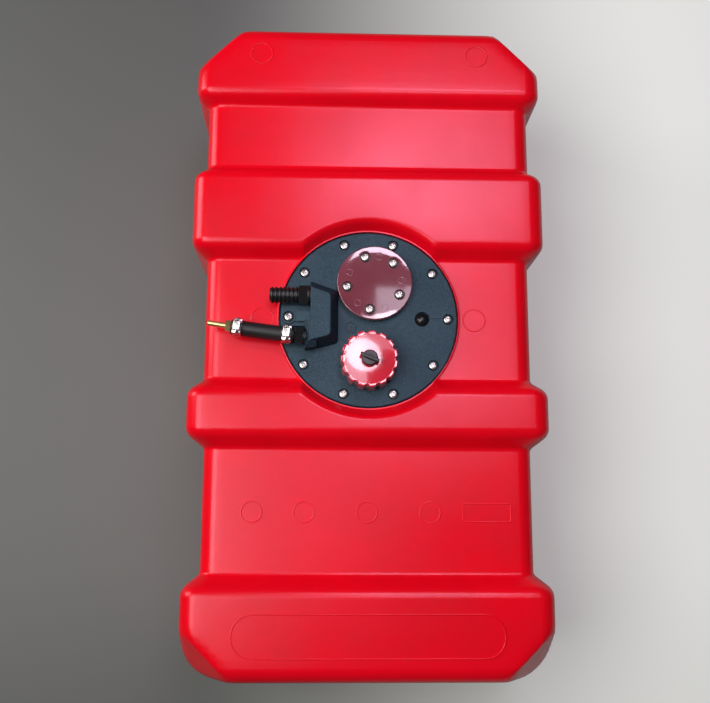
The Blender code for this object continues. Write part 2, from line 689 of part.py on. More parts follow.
def flange_drillings():
    """Everything that is cut out of the flange, in its own frame."""
    top = FLANGE_THICKNESS + OVERRUN
    sender_face = FLANGE_THICKNESS + SENDER_BOSS_HEIGHT
    seat = FLANGE_THICKNESS - COUNTERBORE_DEPTH
    below = -PICKUP_SOCKET_DEPTH - OVERRUN
    plug_floor = FLANGE_THICKNESS - PLUG_RECESS_DEPTH
    ring_outside = PORT_RING_RADIUS + PORT_RING_SECTION + PORT_RING_MARGIN
    ring_seat = FLANGE_THICKNESS + GAP - 2 * (PORT_RING_SECTION + GAP)
    filler = turned("filler_bore", stepped(
        NECK_BORE_RADIUS, NECK_RADIUS + GAP, -OVERRUN, FLANGE_THICKNESS - NECK_SEAT_DEPTH, top),
        MEDIUM_STEPS)
    sender_hole = disc("sender_hole", SENDER_HOLE_RADIUS, -OVERRUN, sender_face + OVERRUN,
                       MEDIUM_STEPS)
    sender_pilots = drills("sender_pilots", sender_screw_places(), straight(
        SCREW_HOLE_RADIUS, sender_face - COVER_SCREW_REACH - SENDER_PILOT_MARGIN,
        sender_face + OVERRUN), RING_STEPS)
    screw_places = circle_places(FLANGE_SCREW_COUNT, FLANGE_SCREW_CIRCLE)
    in_lug = [spot for spot in screw_places if spot[0] < WELD - FLANGE_SCREW_CIRCLE]
    in_open = [spot for spot in screw_places if spot not in in_lug]
    plain_holes = in_lug + [(HOUSING_SCREW_X, HOUSING_SCREW_FAR),
                            (HOUSING_SCREW_X, HOUSING_SCREW_NEAR)]
    vent_duct = turned("vent_duct", stepped(DUCT_RADIUS, ring_outside, -OVERRUN, ring_seat, top),
                       DRILL_STEPS)
    outlet_duct = turned("outlet_duct", [
        (0, below), (PICKUP_RADIUS + GAP, below), (PICKUP_RADIUS + GAP, 0), (DUCT_RADIUS, 0),
        (DUCT_RADIUS, ring_seat), (ring_outside, ring_seat), (ring_outside, top), (0, top)],
        DRILL_STEPS)
    plug_bore = turned("plug_bore", stepped(
        PLUG_RADIUS + GAP, PLUG_RECESS_RADIUS, -PLUG_BOSS_DEPTH - OVERRUN, plug_floor, top),
        SMALL_STEPS)
    return gathered("flange_drillings", [
        (filler, 0, FILLER_Y),
        (sender_hole, SENDER_X, SENDER_Y),
        (sender_pilots, SENDER_X, SENDER_Y),
        (drills("screw_holes", in_open, stepped(SCREW_HOLE_RADIUS, COUNTERBORE_RADIUS, -OVERRUN,
                                                seat, top), SCREW_STEPS), 0, 0),
        (drills("plain_holes", plain_holes, straight(SCREW_HOLE_RADIUS, -OVERRUN, top),
                RING_STEPS), 0, 0),
        (vent_duct, DUCT_X, VENT_Y),
        (outlet_duct, DUCT_X, OUTLET_Y),
        (plug_bore, PLUG_X, 0),
    ])


def sender_screw_places():
    return [(SENDER_SCREW_CIRCLE * math.cos(angle), SENDER_SCREW_CIRCLE * math.sin(angle))
            for angle in SENDER_SCREW_ANGLES]


def add_flange():
    spigot = PORT_RADIUS - SPIGOT_CLEARANCE
    rim = FLANGE_THICKNESS - FLANGE_EDGE
    outline = [(0, 0), (spigot - SPIGOT_WALL, 0), (spigot - SPIGOT_WALL, -SPIGOT_DEPTH),
               (spigot, -SPIGOT_DEPTH), (spigot, 0), (FLANGE_RADIUS, 0), (FLANGE_RADIUS, rim),
               (FLANGE_RADIUS - FLANGE_EDGE, FLANGE_THICKNESS), (0, FLANGE_THICKNESS)]
    frame = upright(0, FLANGE_Y, FLANGE_FOOT)
    flange = place("mounting_flange", turned("mounting_flange", outline, BIG_STEPS), "black", frame)
    middle = FLANGE_THICKNESS / 2
    sender_boss = disc("sender_boss", SENDER_BOSS_RADIUS, middle,
                       FLANGE_THICKNESS + SENDER_BOSS_HEIGHT, MEDIUM_STEPS)
    socket = disc("pickup_socket", PICKUP_RADIUS + GAP + PICKUP_SOCKET_WALL,
                  -PICKUP_SOCKET_DEPTH, middle, SMALL_STEPS)
    plug_boss = disc("plug_boss", PLUG_RADIUS + GAP + PLUG_BOSS_WALL, -PLUG_BOSS_DEPTH, middle,
                     SMALL_STEPS)
    raised = gathered("flange_bosses", [(sender_boss, SENDER_X, SENDER_Y),
                                        (socket, DUCT_X, OUTLET_Y), (plug_boss, PLUG_X, 0)])
    shape(flange, [tool_object("flange_bosses", raised, frame)], "UNION")
    shape(flange, [tool_object("flange_drillings", flange_drillings(), frame)], "DIFFERENCE")


def add_flange_gasket():
    frame = upright(0, FLANGE_Y, SEAT_TOP + GAP)
    ring = tube("flange_gasket", PORT_RADIUS, FLANGE_RADIUS - FLANGE_EDGE, 0, GASKET_THICKNESS,
                BIG_STEPS)
    gasket = place("flange_gasket", ring, "rubber", frame)
    holes = drills("gasket_holes", circle_places(FLANGE_SCREW_COUNT, FLANGE_SCREW_CIRCLE),
                   straight(SCREW_HOLE_RADIUS, -OVERRUN, GASKET_THICKNESS + OVERRUN), RING_STEPS)
    shape(gasket, [tool_object("gasket_holes", holes, frame)], "DIFFERENCE")


def add_screw(name, frame, grip, reach):
    """Pan-head screw. The frame stands where the head bears, and the shank runs down."""
    crown = SCREW_HEAD_HEIGHT - SCREW_HEAD_ROUND
    tip = -(grip + reach)
    outline = [(0, tip), (SCREW_SHANK_RADIUS, tip), (SCREW_SHANK_RADIUS, 0),
               (SCREW_HEAD_RADIUS, 0), (SCREW_HEAD_RADIUS, crown),
               (SCREW_HEAD_RADIUS - SCREW_HEAD_ROUND, SCREW_HEAD_HEIGHT), (0, SCREW_HEAD_HEIGHT)]
    place(name, turned(name, outline, SCREW_STEPS), "steel", frame)


def add_flange_screws():
    bearing = FLANGE_TOP - COUNTERBORE_DEPTH + GAP
    lug_bearing = HOUSING_FOOT + LUG_BOSS_HEIGHT - COUNTERBORE_DEPTH + GAP
    places = circle_places(FLANGE_SCREW_COUNT, FLANGE_SCREW_CIRCLE)
    for index, (x, y) in enumerate(places):
        in_lug = x < -FLANGE_SCREW_CIRCLE + WELD
        height = lug_bearing if in_lug else bearing
        turn = Matrix.Rotation(index, 4, "Z")
        frame = upright(x, FLANGE_Y + y, height) @ turn
        add_screw(f"flange_screw_{index + 1:02d}", frame, height - SEAT_TOP, FLANGE_SCREW_REACH)


# Sender port cover

def add_sender_cover():
    gasket_frame = upright(SENDER_X, FLANGE_Y + SENDER_Y, SENDER_BOSS_TOP + GAP)
    ring = tube("sender_gasket", SENDER_HOLE_RADIUS, SENDER_BOSS_RADIUS, 0,
                SENDER_GASKET_THICKNESS, MEDIUM_STEPS)
    gasket = place("sender_gasket", ring, "rubber", gasket_frame)
    holes = drills("sender_gasket_holes", sender_screw_places(), straight(
        SCREW_HOLE_RADIUS, -OVERRUN, SENDER_GASKET_THICKNESS + OVERRUN), RING_STEPS)
    shape(gasket, [tool_object("sender_gasket_holes", holes, gasket_frame)], "DIFFERENCE")

    frame = upright(SENDER_X, FLANGE_Y + SENDER_Y, COVER_FOOT)
    rim = arc(COVER_RADIUS - COVER_EDGE, COVER_THICKNESS - COVER_EDGE, COVER_EDGE, 0,
              math.pi / 2, 2)
    outline = [(0, -COVER_STIFFENER_DEPTH), (COVER_STIFFENER_RADIUS, -COVER_STIFFENER_DEPTH),
               (COVER_STIFFENER_RADIUS, 0), (COVER_RADIUS, 0)] + rim + [(0, COVER_THICKNESS)]
    cover = place("sender_cover", turned("sender_cover", outline, MEDIUM_STEPS), "cover", frame)
    seat = COVER_THICKNESS - COVER_COUNTERBORE_DEPTH
    top = COVER_THICKNESS + OVERRUN
    holes = drills("cover_holes", sender_screw_places(), stepped(
        SCREW_HOLE_RADIUS, COVER_COUNTERBORE_RADIUS, -OVERRUN, seat, top), SCREW_STEPS)
    shape(cover, [tool_object("cover_holes", holes, frame)], "DIFFERENCE")
    bearing = COVER_FOOT + seat + GAP
    for index, (x, y) in enumerate(sender_screw_places()):
        spot = upright(SENDER_X + x, FLANGE_Y + SENDER_Y + y, bearing)
        add_screw(f"cover_screw_{index + 1}", spot @ Matrix.Rotation(index, 4, "Z"),
                  bearing - SENDER_BOSS_TOP, COVER_SCREW_REACH)


# Filler cap with its vent

def add_filler_neck():
    foot = FLANGE_TOP - NECK_SEAT_DEPTH + GAP
    sleeve = tube("filler_neck", NECK_BORE_RADIUS, NECK_RADIUS, 0, NECK_TOP - foot, MEDIUM_STEPS)
    place("filler_neck", sleeve, "black", upright(0, FLANGE_Y + FILLER_Y, foot))


def add_filler_cap():
    frame = upright(0, FLANGE_Y + FILLER_Y, CAP_FOOT)
    top = CAP_TOP - CAP_FOOT
    ceiling = CAP_CEILING_FACE - CAP_FOOT
    stem_hole = KNOB_STEM_RADIUS + KNOB_THREAD_SPACE
    ring_seat = VENT_RING_RADIUS + VENT_RING_SECTION + GAP
    dish = top - CAP_DISH_DEPTH
    edge = arc(CAP_RADIUS - CAP_EDGE, top - CAP_EDGE, CAP_EDGE, 0, math.pi / 2, ARC_STEPS)
    outline = [(CAP_BORE_RADIUS, 0), (CAP_RADIUS, 0)] + edge
    outline += [(CAP_DISH_RADIUS, top), (CAP_DISH_RADIUS - CAP_DISH_SLOPE, dish),
                (ring_seat, dish), (ring_seat, dish - VENT_SEAT_DEPTH),
                (stem_hole, dish - VENT_SEAT_DEPTH), (stem_hole, ceiling),
                (CAP_BORE_RADIUS, ceiling)]
    cap = place("filler_cap", turned("filler_cap", outline, CAP_STEPS), "cap", frame)
    notch_circle = CAP_RADIUS + CAP_NOTCH_RADIUS - CAP_NOTCH_REACH
    notches = drills("cap_notches", circle_places(CAP_NOTCH_COUNT, notch_circle),
                     straight(CAP_NOTCH_RADIUS, -OVERRUN, top + OVERRUN), SCREW_STEPS)
    shape(cap, [tool_object("cap_notches", notches, frame)], "DIFFERENCE")

    seal = tube("cap_gasket", NECK_BORE_RADIUS, CAP_BORE_RADIUS - CAP_GASKET_MARGIN, 0,
                CAP_GASKET_THICKNESS, MEDIUM_STEPS)
    place("cap_gasket", seal, "rubber", upright(0, FLANGE_Y + FILLER_Y, NECK_TOP + GAP))

    add_vent_knob(CAP_FOOT + dish, CAP_CEILING_FACE)


def add_vent_knob(dish_height, ceiling_height):
    ring_floor = dish_height - VENT_SEAT_DEPTH
    ring_height = ring_floor + GAP + VENT_RING_SECTION
    head_foot = ring_height + VENT_RING_SECTION + GAP
    place("vent_o_ring", seal_ring("vent_o_ring", VENT_RING_RADIUS, VENT_RING_SECTION), "rubber",
          upright(0, FLANGE_Y + FILLER_Y, ring_height))

    stem_end = ceiling_height - head_foot
    lip = KNOB_RADIUS - KNOB_EDGE
    outline = [(0, stem_end), (KNOB_STEM_RADIUS, stem_end), (KNOB_STEM_RADIUS, 0),
               (KNOB_RADIUS, 0), (KNOB_RADIUS, KNOB_HEIGHT - KNOB_EDGE), (lip, KNOB_HEIGHT),
               (0, KNOB_HEIGHT)]
    frame = upright(0, FLANGE_Y + FILLER_Y, head_foot) @ Matrix.Rotation(KNOB_BAR_ANGLE, 4, "Z")
    knob = place("vent_knob", turned("vent_knob", outline, SMALL_STEPS), "black", frame)
    half_length = KNOB_BAR_LENGTH / 2
    half_width_of_bar = KNOB_BAR_WIDTH / 2
    bar_top = KNOB_HEIGHT + KNOB_BAR_HEIGHT - KNOB_EDGE
    bar = block("knob_bar", (-half_length, -half_width_of_bar, bar_top - KNOB_BAR_HEIGHT),
                (half_length, half_width_of_bar, bar_top))
    shape(knob, [tool_object("knob_bar", bar, frame)], "UNION")


def seal_ring(name, radius, section_radius):
    outline = circle_places(SEAL_STEPS, section_radius)
    return turned(name, [(radius + x, y) for x, y in outline], SMALL_STEPS)


# Blank port

def add_port_plug():
    floor = FLANGE_THICKNESS - PLUG_RECESS_DEPTH
    head = PLUG_HEAD_HEIGHT
    outline = [(0, -PLUG_LENGTH), (PLUG_RADIUS, -PLUG_LENGTH), (PLUG_RADIUS, 0),
               (PLUG_HEAD_RADIUS, 0), (PLUG_HEAD_RADIUS, head),
               (PLUG_RADIUS, head)]
    for step in range(1, ARC_STEPS + 1):
        angle = math.pi / 2 * step / ARC_STEPS
        outline.append((PLUG_RADIUS * math.cos(angle), head + PLUG_DOME_HEIGHT * math.sin(angle)))
    outline[-1] = (0, outline[-1][1])
    place("port_plug", turned("port_plug", outline, SMALL_STEPS), "rubber",
          upright(PLUG_X, FLANGE_Y, FLANGE_FOOT + floor + GAP))


# Outlet housing and what screws into it

def housing_outline(lean_share):
    """Plan of the housing body, its leaning walls drawn in by a share of their lean."""
    left = HOUSING_LEFT + HOUSING_LEFT_LEAN * lean_share
    right = HOUSING_RIGHT - HOUSING_RIGHT_LEAN * lean_share
    far = HOUSING_FAR_LEAN * lean_share
    near = HOUSING_NEAR_LEAN * lean_share
    far_slope = (HOUSING_FAR_RIGHT - HOUSING_FAR_LEFT) / (HOUSING_RIGHT - HOUSING_LEFT)
    near_slope = (HOUSING_NEAR_RIGHT - HOUSING_NEAR_LEFT) / (HOUSING_RIGHT - HOUSING_LEFT)
    far_left = HOUSING_FAR_LEFT - far + far_slope * (left - HOUSING_LEFT)
    far_right = HOUSING_FAR_LEFT - far + far_slope * (right - HOUSING_LEFT)
    near_left = HOUSING_NEAR_LEFT + near + near_slope * (left - HOUSING_LEFT)
    near_right = HOUSING_NEAR_LEFT + near + near_slope * (right - HOUSING_LEFT)
    far_corner = rounded_corner((left, far_left), (right, far_right), (right, near_right))
    near_corner = rounded_corner((right, far_right), (right, near_right), (left, near_left))
    return [(left, far_left)] + far_corner + near_corner + [(left, near_left)]


def rounded_corner(before, corner, after):
    """Points of the arc that rounds a plan corner."""
    corner = Vector(corner)
    back = (Vector(before) - corner).normalized()
    on = (Vector(after) - corner).normalized()
    half = back.angle(on) / 2
    reach = HOUSING_ROUND / math.tan(half)
    middle = corner + (back + on).normalized() * HOUSING_ROUND / math.sin(half)
    start = corner + back * reach - middle
    end = corner + on * reach - middle
    points = []
    for step in range(ARC_STEPS + 1):
        share = step / ARC_STEPS
        points.append(tuple(middle + start.slerp(end, share).normalized() * HOUSING_ROUND))
    return points


def add_housing():
    frame = upright(0, FLANGE_Y, HOUSING_FOOT)
    rings = [[(x, y, HOUSING_HEIGHT * share) for x, y in housing_outline(share)]
             for share in (0, 1)]
    housing = place("outlet_housing", lofted("outlet_housing", rings), "black", frame)
    bevel = housing.modifiers.new("edge_round", "BEVEL")
    bevel.width = HOUSING_EDGE
    bevel.segments = 2
    bevel.limit_method = "ANGLE"
    bevel.angle_limit = math.radians(30)

    inside = HOUSING_LEFT + OUTLET_BLOCK_OVERLAP
    outside = HOUSING_LEFT - OUTLET_BLOCK_STEP
    foot = [(outside, HOUSING_NEAR_LEFT), (inside, HOUSING_NEAR_LEFT + OVERRUN),
            (inside, OUTLET_BLOCK_FAR), (outside, OUTLET_BLOCK_FAR)]
    head = [(outside + OUTLET_BLOCK_LEAN, HOUSING_NEAR_LEFT + HOUSING_NEAR_LEAN),
            (inside, HOUSING_NEAR_LEFT + HOUSING_NEAR_LEAN + OVERRUN),
            (inside, OUTLET_BLOCK_FAR), (outside + OUTLET_BLOCK_LEAN, OUTLET_BLOCK_FAR)]
    outlet_block = lofted("outlet_block", [
        [(x, y, 0) for x, y in foot],
        [(x, y, OUTLET_BLOCK_SHOULDER) for x, y in foot],
        [(x, y, OUTLET_BLOCK_HEIGHT) for x, y in head]])

    lug_end = HOUSING_LEFT - LUG_LENGTH
    lug = block("housing_lug", (lug_end, LUG_NEAR, 0), (inside, LUG_FAR, LUG_THICKNESS))
    lug_boss = disc("lug_boss", LUG_BOSS_RADIUS, 0, LUG_BOSS_HEIGHT, SMALL_STEPS)
    web_start = -FLANGE_SCREW_CIRCLE
    web_side = LUG_WEB_WIDTH / 2
    web = lofted("lug_web", [
        [(web_start, side, 0), (inside, side, 0), (inside, side, LUG_WEB_HEIGHT),
         (web_start, side, LUG_THICKNESS)] for side in (-web_side, web_side)])
    for mesh, x in ((outlet_block, 0), (lug, 0), (web, 0), (lug_boss, -FLANGE_SCREW_CIRCLE)):
        shape(housing, [tool_object(mesh.name, mesh, upright(x, FLANGE_Y, HOUSING_FOOT))],
              "UNION")

    bearing = LUG_BOSS_HEIGHT - COUNTERBORE_DEPTH
    lug_hole = turned("lug_hole", stepped(SCREW_HOLE_RADIUS, COUNTERBORE_RADIUS, -OVERRUN,
                                          bearing, HOUSING_HEIGHT), DRILL_STEPS)
    ducts = drills("housing_ducts", [(DUCT_X, VENT_Y), (DUCT_X, OUTLET_Y)],
                   straight(DUCT_RADIUS, -OVERRUN, PORT_AXIS_HEIGHT - GAP), DRILL_STEPS)
    pilots = drills("housing_pilots", [(HOUSING_SCREW_X, HOUSING_SCREW_FAR),
                                       (HOUSING_SCREW_X, HOUSING_SCREW_NEAR)],
                    straight(SCREW_HOLE_RADIUS, -OVERRUN, HOUSING_SCREW_REACH + OVERRUN),
                    RING_STEPS)
    drillings = gathered("housing_drillings", [(lug_hole, -FLANGE_SCREW_CIRCLE, 0),
                                               (ducts, 0, 0), (pilots, 0, 0)])
    cuts = [tool_object("housing_drillings", drillings, frame)]
    vent_reach = DUCT_X - HOUSING_LEFT
    outlet_reach = DUCT_X - HOUSING_LEFT + OUTLET_BLOCK_STEP
    vent_bore = turned("vent_bore", fitting_bore(
        TAIL_SHANK_RADIUS, TAIL_SHANK_LENGTH, TAIL_COLLAR_RADIUS, vent_reach), SMALL_STEPS)
    outlet_bore = turned("outlet_bore", fitting_bore(
        OUTLET_SHANK_RADIUS, OUTLET_SHANK_LENGTH, OUTLET_COLLAR_RADIUS, outlet_reach),
        SMALL_STEPS)
    cuts.append(tool_object("vent_bore", vent_bore, vent_frame()))
    cuts.append(tool_object("outlet_bore", outlet_bore, outlet_frame()))
    shape(housing, cuts, "DIFFERENCE")

    for name, y in (("vent_port_o_ring", VENT_Y), ("outlet_port_o_ring", OUTLET_Y)):
        ring_height = HOUSING_FOOT - GAP - PORT_RING_SECTION
        place(name, seal_ring(name, PORT_RING_RADIUS, PORT_RING_SECTION), "rubber",
              upright(DUCT_X, FLANGE_Y + y, ring_height))
    flip = Matrix.Rotation(math.pi, 4, "X")
    for name, y in (("housing_screw_1", HOUSING_SCREW_FAR), ("housing_screw_2", HOUSING_SCREW_NEAR)):
        spot = upright(HOUSING_SCREW_X, FLANGE_Y + y, FLANGE_FOOT - GAP)
        add_screw(name, spot @ flip, FLANGE_THICKNESS + 2 * GAP, HOUSING_SCREW_REACH)


def fitting_bore(shank_radius, shank_length, collar_radius, reach):
    """Outline of a bore for a fitting: spot face, shank bore, then the way to the duct."""
    wide = shank_radius + GAP
    spot = collar_radius + SPOT_FACE_MARGIN
    clear = SPOT_FACE_DEPTH + OVERRUN
    return [(0, -reach), (DUCT_RADIUS, -reach), (DUCT_RADIUS, -shank_length - GAP),
            (wide, -shank_length - GAP), (wide, 0), (spot, 0), (spot, clear), (0, clear)]


def vent_frame():
    return aimed((HOUSING_LEFT + SPOT_FACE_DEPTH, FLANGE_Y + VENT_Y, PORT_AXIS), 0)


def outlet_frame():
    wall = HOUSING_LEFT - OUTLET_BLOCK_STEP + SPOT_FACE_DEPTH
    return aimed((wall, FLANGE_Y + OUTLET_Y, PORT_AXIS), OUTLET_TURN)


def barb_outline(start, count, length, core, crest):
    """Saw-tooth outline of a hose barb, its teeth facing back towards the start."""
    pitch = length / count
    points = []
    for index in range(count):
        foot = start + pitch * index
        points += [(core, foot), (crest, foot + pitch * BARB_CREST_SHARE)]
    points.append((core, start + length))
    return points


def add_vent_tail():
    collar = WASHER_THICKNESS + 2 * GAP
    hex_start = collar + TAIL_COLLAR_LENGTH
    barb_start = hex_start + TAIL_HEX_LENGTH
    length = TAIL_RIB_COUNT * TAIL_RIB_PITCH
    sections = round_sections([
        (TAIL_BORE_RADIUS, -TAIL_SHANK_LENGTH), (TAIL_SHANK_RADIUS, -TAIL_SHANK_LENGTH),
        (TAIL_SHANK_RADIUS, collar), (TAIL_COLLAR_RADIUS, collar),
        (TAIL_COLLAR_RADIUS, hex_start)])
    sections += hexagon_sections(TAIL_HEX_FLATS, hex_start, TAIL_HEX_LENGTH)
    sections += round_sections(barb_outline(barb_start, TAIL_RIB_COUNT, length,
                                            TAIL_CORE_RADIUS, TAIL_RIB_RADIUS))
    sections += round_sections([(TAIL_BORE_RADIUS, barb_start + length)])
    frame = vent_frame()
    place("vent_hose_tail", skinned("vent_hose_tail", sections, TAIL_STEPS), "black", frame)
    washer = tube("vent_tail_washer", TAIL_SHANK_RADIUS + GAP, TAIL_COLLAR_RADIUS - WASHER_MARGIN,
                  GAP, GAP + WASHER_THICKNESS, SMALL_STEPS)
    place("vent_tail_washer", washer, "rubber", frame)


def add_outlet_fitting():
    collar = WASHER_THICKNESS + 2 * GAP
    hex_start = collar + OUTLET_COLLAR_LENGTH
    barb_start = hex_start + OUTLET_HEX_LENGTH + HOSE_STAND_OFF
    sections = round_sections([
        (BARB_BORE_RADIUS, -OUTLET_SHANK_LENGTH), (OUTLET_SHANK_RADIUS, -OUTLET_SHANK_LENGTH),
        (OUTLET_SHANK_RADIUS, collar), (OUTLET_COLLAR_RADIUS, collar),
        (OUTLET_COLLAR_RADIUS, hex_start)])
    sections += hexagon_sections(OUTLET_HEX_FLATS, hex_start, OUTLET_HEX_LENGTH)
    sections += round_sections([(BARB_CORE_RADIUS, hex_start + OUTLET_HEX_LENGTH)])
    sections += round_sections(barb_outline(barb_start, OUTLET_BARB_COUNT, OUTLET_BARB_LENGTH,
                                            BARB_CORE_RADIUS, BARB_CREST_RADIUS))
    sections += round_sections([(BARB_BORE_RADIUS, barb_start + OUTLET_BARB_LENGTH)])
    frame = outlet_frame()
    place("fuel_outlet_fitting", skinned("fuel_outlet_fitting", sections, DRILL_STEPS),
          "black", frame)
    washer = tube("outlet_fitting_washer", OUTLET_SHANK_RADIUS + GAP,
                  OUTLET_COLLAR_RADIUS - WASHER_MARGIN, GAP, GAP + WASHER_THICKNESS, SMALL_STEPS)
    place("outlet_fitting_washer", washer, "rubber", frame)


# Fuel hose, clamps and nipple

def hose_frame(distance):
    """Frame on the hose's centre line, this far along it from the outlet fitting."""
    start = (WASHER_THICKNESS + 2 * GAP + OUTLET_COLLAR_LENGTH + OUTLET_HEX_LENGTH
             + HOSE_STAND_OFF)
    origin = outlet_frame() @ Vector((0, 0, start))
    bend_radius = HOSE_LENGTH / HOSE_BEND
    heading = OUTLET_TURN + distance / bend_radius
    along = bend_radius * (math.sin(heading) - math.sin(OUTLET_TURN))
    aside = bend_radius * (math.cos(OUTLET_TURN) - math.cos(heading))
    return aimed(origin + Vector((-along, aside, 0)), heading)


def add_hose():
    """Thick rubber tube swept along a gentle arc, open at both ends."""
    bm = bmesh.new()
    outer_rows, bore_rows = [], []
    for step in range(HOSE_STEPS + 1):
        frame = hose_frame(HOSE_LENGTH * step / HOSE_STEPS)
        for rows, radius in ((outer_rows, HOSE_RADIUS), (bore_rows, HOSE_BORE_RADIUS)):
            places = circle_places(SMALL_STEPS, radius)
            rows.append([bm.verts.new(frame @ Vector((x, y, 0))) for x, y in places])
    rows = outer_rows + bore_rows[::-1]
    for low, high in zip(rows, rows[1:] + rows[:1]):
        add_band(bm, low, high)
    place("fuel_hose", mesh_from(bm, "fuel_hose"), "rubber")


def add_clamp(number, distance):
    """Screw clamp: a band round the hose with its screw block on top."""
    frame = hose_frame(distance)
    inner = HOSE_RADIUS + GAP
    outer = inner + CLAMP_THICKNESS
    half = CLAMP_WIDTH / 2
    name = f"hose_clamp_{number}"
    clamp = place(name, tube(name, inner, outer, -half, half, SMALL_STEPS), "steel", frame)
    long_side = CLAMP_BLOCK_LENGTH / 2
    screw_height = outer + CLAMP_BLOCK_HEIGHT / 2
    body = block(name + "_block", (outer - CLAMP_THICKNESS / 2, -long_side, -half),
                 (outer + CLAMP_BLOCK_HEIGHT, long_side, half))
    cross = frame @ Matrix.Translation((screw_height, 0, 0)) @ Matrix.Rotation(math.pi / 2, 4, "X")
    hole = disc(name + "_hole", CLAMP_SCREW_RADIUS + GAP, -CLAMP_BLOCK_LENGTH, CLAMP_BLOCK_LENGTH,
                RING_STEPS)
    shape(clamp, [tool_object(name + "_block", body, frame)], "UNION")
    shape(clamp, [tool_object(name + "_hole", hole, cross)], "DIFFERENCE")

    bearing = long_side + GAP
    tip = bearing - CLAMP_SCREW_LENGTH
    head = bearing + CLAMP_HEAD_HEIGHT
    outline = [(0, tip), (CLAMP_SCREW_RADIUS, tip), (CLAMP_SCREW_RADIUS, bearing),
               (CLAMP_HEAD_RADIUS, bearing), (CLAMP_HEAD_RADIUS, head), (0, head)]
    screw_name = f"clamp_screw_{number}"
    screw = place(screw_name, turned(screw_name, outline, SCREW_STEPS), "steel", cross)
    slot_half = CLAMP_HEAD_SLOT_WIDTH / 2
    slot = block(screw_name + "_slot", (-CLAMP_HEAD_RADIUS - OVERRUN, -slot_half,
                                        head - CLAMP_HEAD_SLOT_DEPTH),
                 (CLAMP_HEAD_RADIUS + OVERRUN, slot_half, head + OVERRUN))
    shape(screw, [tool_object(screw_name + "_slot", slot, cross)], "DIFFERENCE")


def add_nipple():
    """Brass connector: a barb in the hose, a hexagon and a plain tube end."""
    frame = hose_frame(HOSE_LENGTH)
    hex_end = NIPPLE_STAND_OFF + NIPPLE_HEX_LENGTH
    tip = hex_end + NIPPLE_TUBE_LENGTH
    barb = barb_outline(0, NIPPLE_BARB_COUNT, NIPPLE_BARB_LENGTH, BARB_CORE_RADIUS,
                        BARB_CREST_RADIUS)
    sections = round_sections([(NIPPLE_TUBE_BORE, -NIPPLE_BARB_LENGTH)])
    sections += round_sections([(radius, -height) for radius, height in reversed(barb)])
    sections += round_sections([(BARB_CORE_RADIUS, NIPPLE_STAND_OFF)])
    sections += hexagon_sections(NIPPLE_HEX_FLATS, NIPPLE_STAND_OFF, NIPPLE_HEX_LENGTH)
    sections += round_sections([(NIPPLE_TUBE_RADIUS, hex_end), (NIPPLE_TUBE_RADIUS, tip),
                                (NIPPLE_TUBE_BORE, tip)])
    place("brass_nipple", skinned("brass_nipple", sections, DRILL_STEPS), "brass", frame)


# Pickup

def add_pickup():
    floor = TANK_FLOOR + PICKUP_FLOOR_GAP
    low = floor + STRAINER_LENGTH - STRAINER_OVERLAP
    pipe = tube("pickup_tube", PICKUP_RADIUS - PICKUP_WALL, PICKUP_RADIUS, low,
                FLANGE_FOOT - GAP, SMALL_STEPS)
    place("pickup_tube", pipe, "clear", upright(DUCT_X, FLANGE_Y + OUTLET_Y, 0))

    socket = PICKUP_RADIUS + GAP
    bore = PICKUP_RADIUS - PICKUP_WALL
    top = STRAINER_LENGTH
    shoulder = top - STRAINER_OVERLAP - GAP
    outline = [(0, 0), (STRAINER_RADIUS, 0), (STRAINER_RADIUS, shoulder),
               (socket + STRAINER_WALL, top), (socket, top), (socket, shoulder),
               (bore, shoulder), (bore, STRAINER_WALL), (0, STRAINER_WALL)]
    place("pickup_strainer", turned("pickup_strainer", outline, SMALL_STEPS), "black",
          upright(DUCT_X, FLANGE_Y + OUTLET_Y, floor))


def main():
    for old in list(bpy.data.objects):
        bpy.data.objects.remove(old)
    add_tank()
    add_flange_gasket()
    add_flange()
    add_flange_screws()
    add_sender_cover()
    add_filler_neck()
    add_filler_cap()
    add_port_plug()
    add_housing()
    add_vent_tail()
    add_outlet_fitting()
    add_hose()
    add_clamp(1, CLAMP_OUTLET_PLACE)
    add_clamp(2, HOSE_LENGTH - CLAMP_NIPPLE_PLACE)
    add_nipple()
    add_pickup()


main()
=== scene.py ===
# Marine fuel tank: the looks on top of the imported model, the camera and the studio
import json
import math

import bmesh
import bpy
from mathutils import Matrix, Vector

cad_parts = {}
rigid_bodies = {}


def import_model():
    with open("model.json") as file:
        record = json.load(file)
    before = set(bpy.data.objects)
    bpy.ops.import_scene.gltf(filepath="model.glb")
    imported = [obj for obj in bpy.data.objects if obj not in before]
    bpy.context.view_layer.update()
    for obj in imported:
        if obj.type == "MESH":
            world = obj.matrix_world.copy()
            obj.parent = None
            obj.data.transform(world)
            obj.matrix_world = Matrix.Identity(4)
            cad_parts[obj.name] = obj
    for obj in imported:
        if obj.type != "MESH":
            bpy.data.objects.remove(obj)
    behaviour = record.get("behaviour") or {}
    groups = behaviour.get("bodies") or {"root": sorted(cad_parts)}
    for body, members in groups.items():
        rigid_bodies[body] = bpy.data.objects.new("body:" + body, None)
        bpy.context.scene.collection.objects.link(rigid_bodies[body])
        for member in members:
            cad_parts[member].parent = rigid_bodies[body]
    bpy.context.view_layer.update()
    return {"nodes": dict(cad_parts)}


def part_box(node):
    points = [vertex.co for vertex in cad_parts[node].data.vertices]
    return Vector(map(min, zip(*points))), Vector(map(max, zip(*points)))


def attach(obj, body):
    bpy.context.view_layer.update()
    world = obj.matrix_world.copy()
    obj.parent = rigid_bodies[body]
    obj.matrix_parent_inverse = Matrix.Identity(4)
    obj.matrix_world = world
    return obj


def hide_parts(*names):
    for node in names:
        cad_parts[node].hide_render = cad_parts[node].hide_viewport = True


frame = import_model()
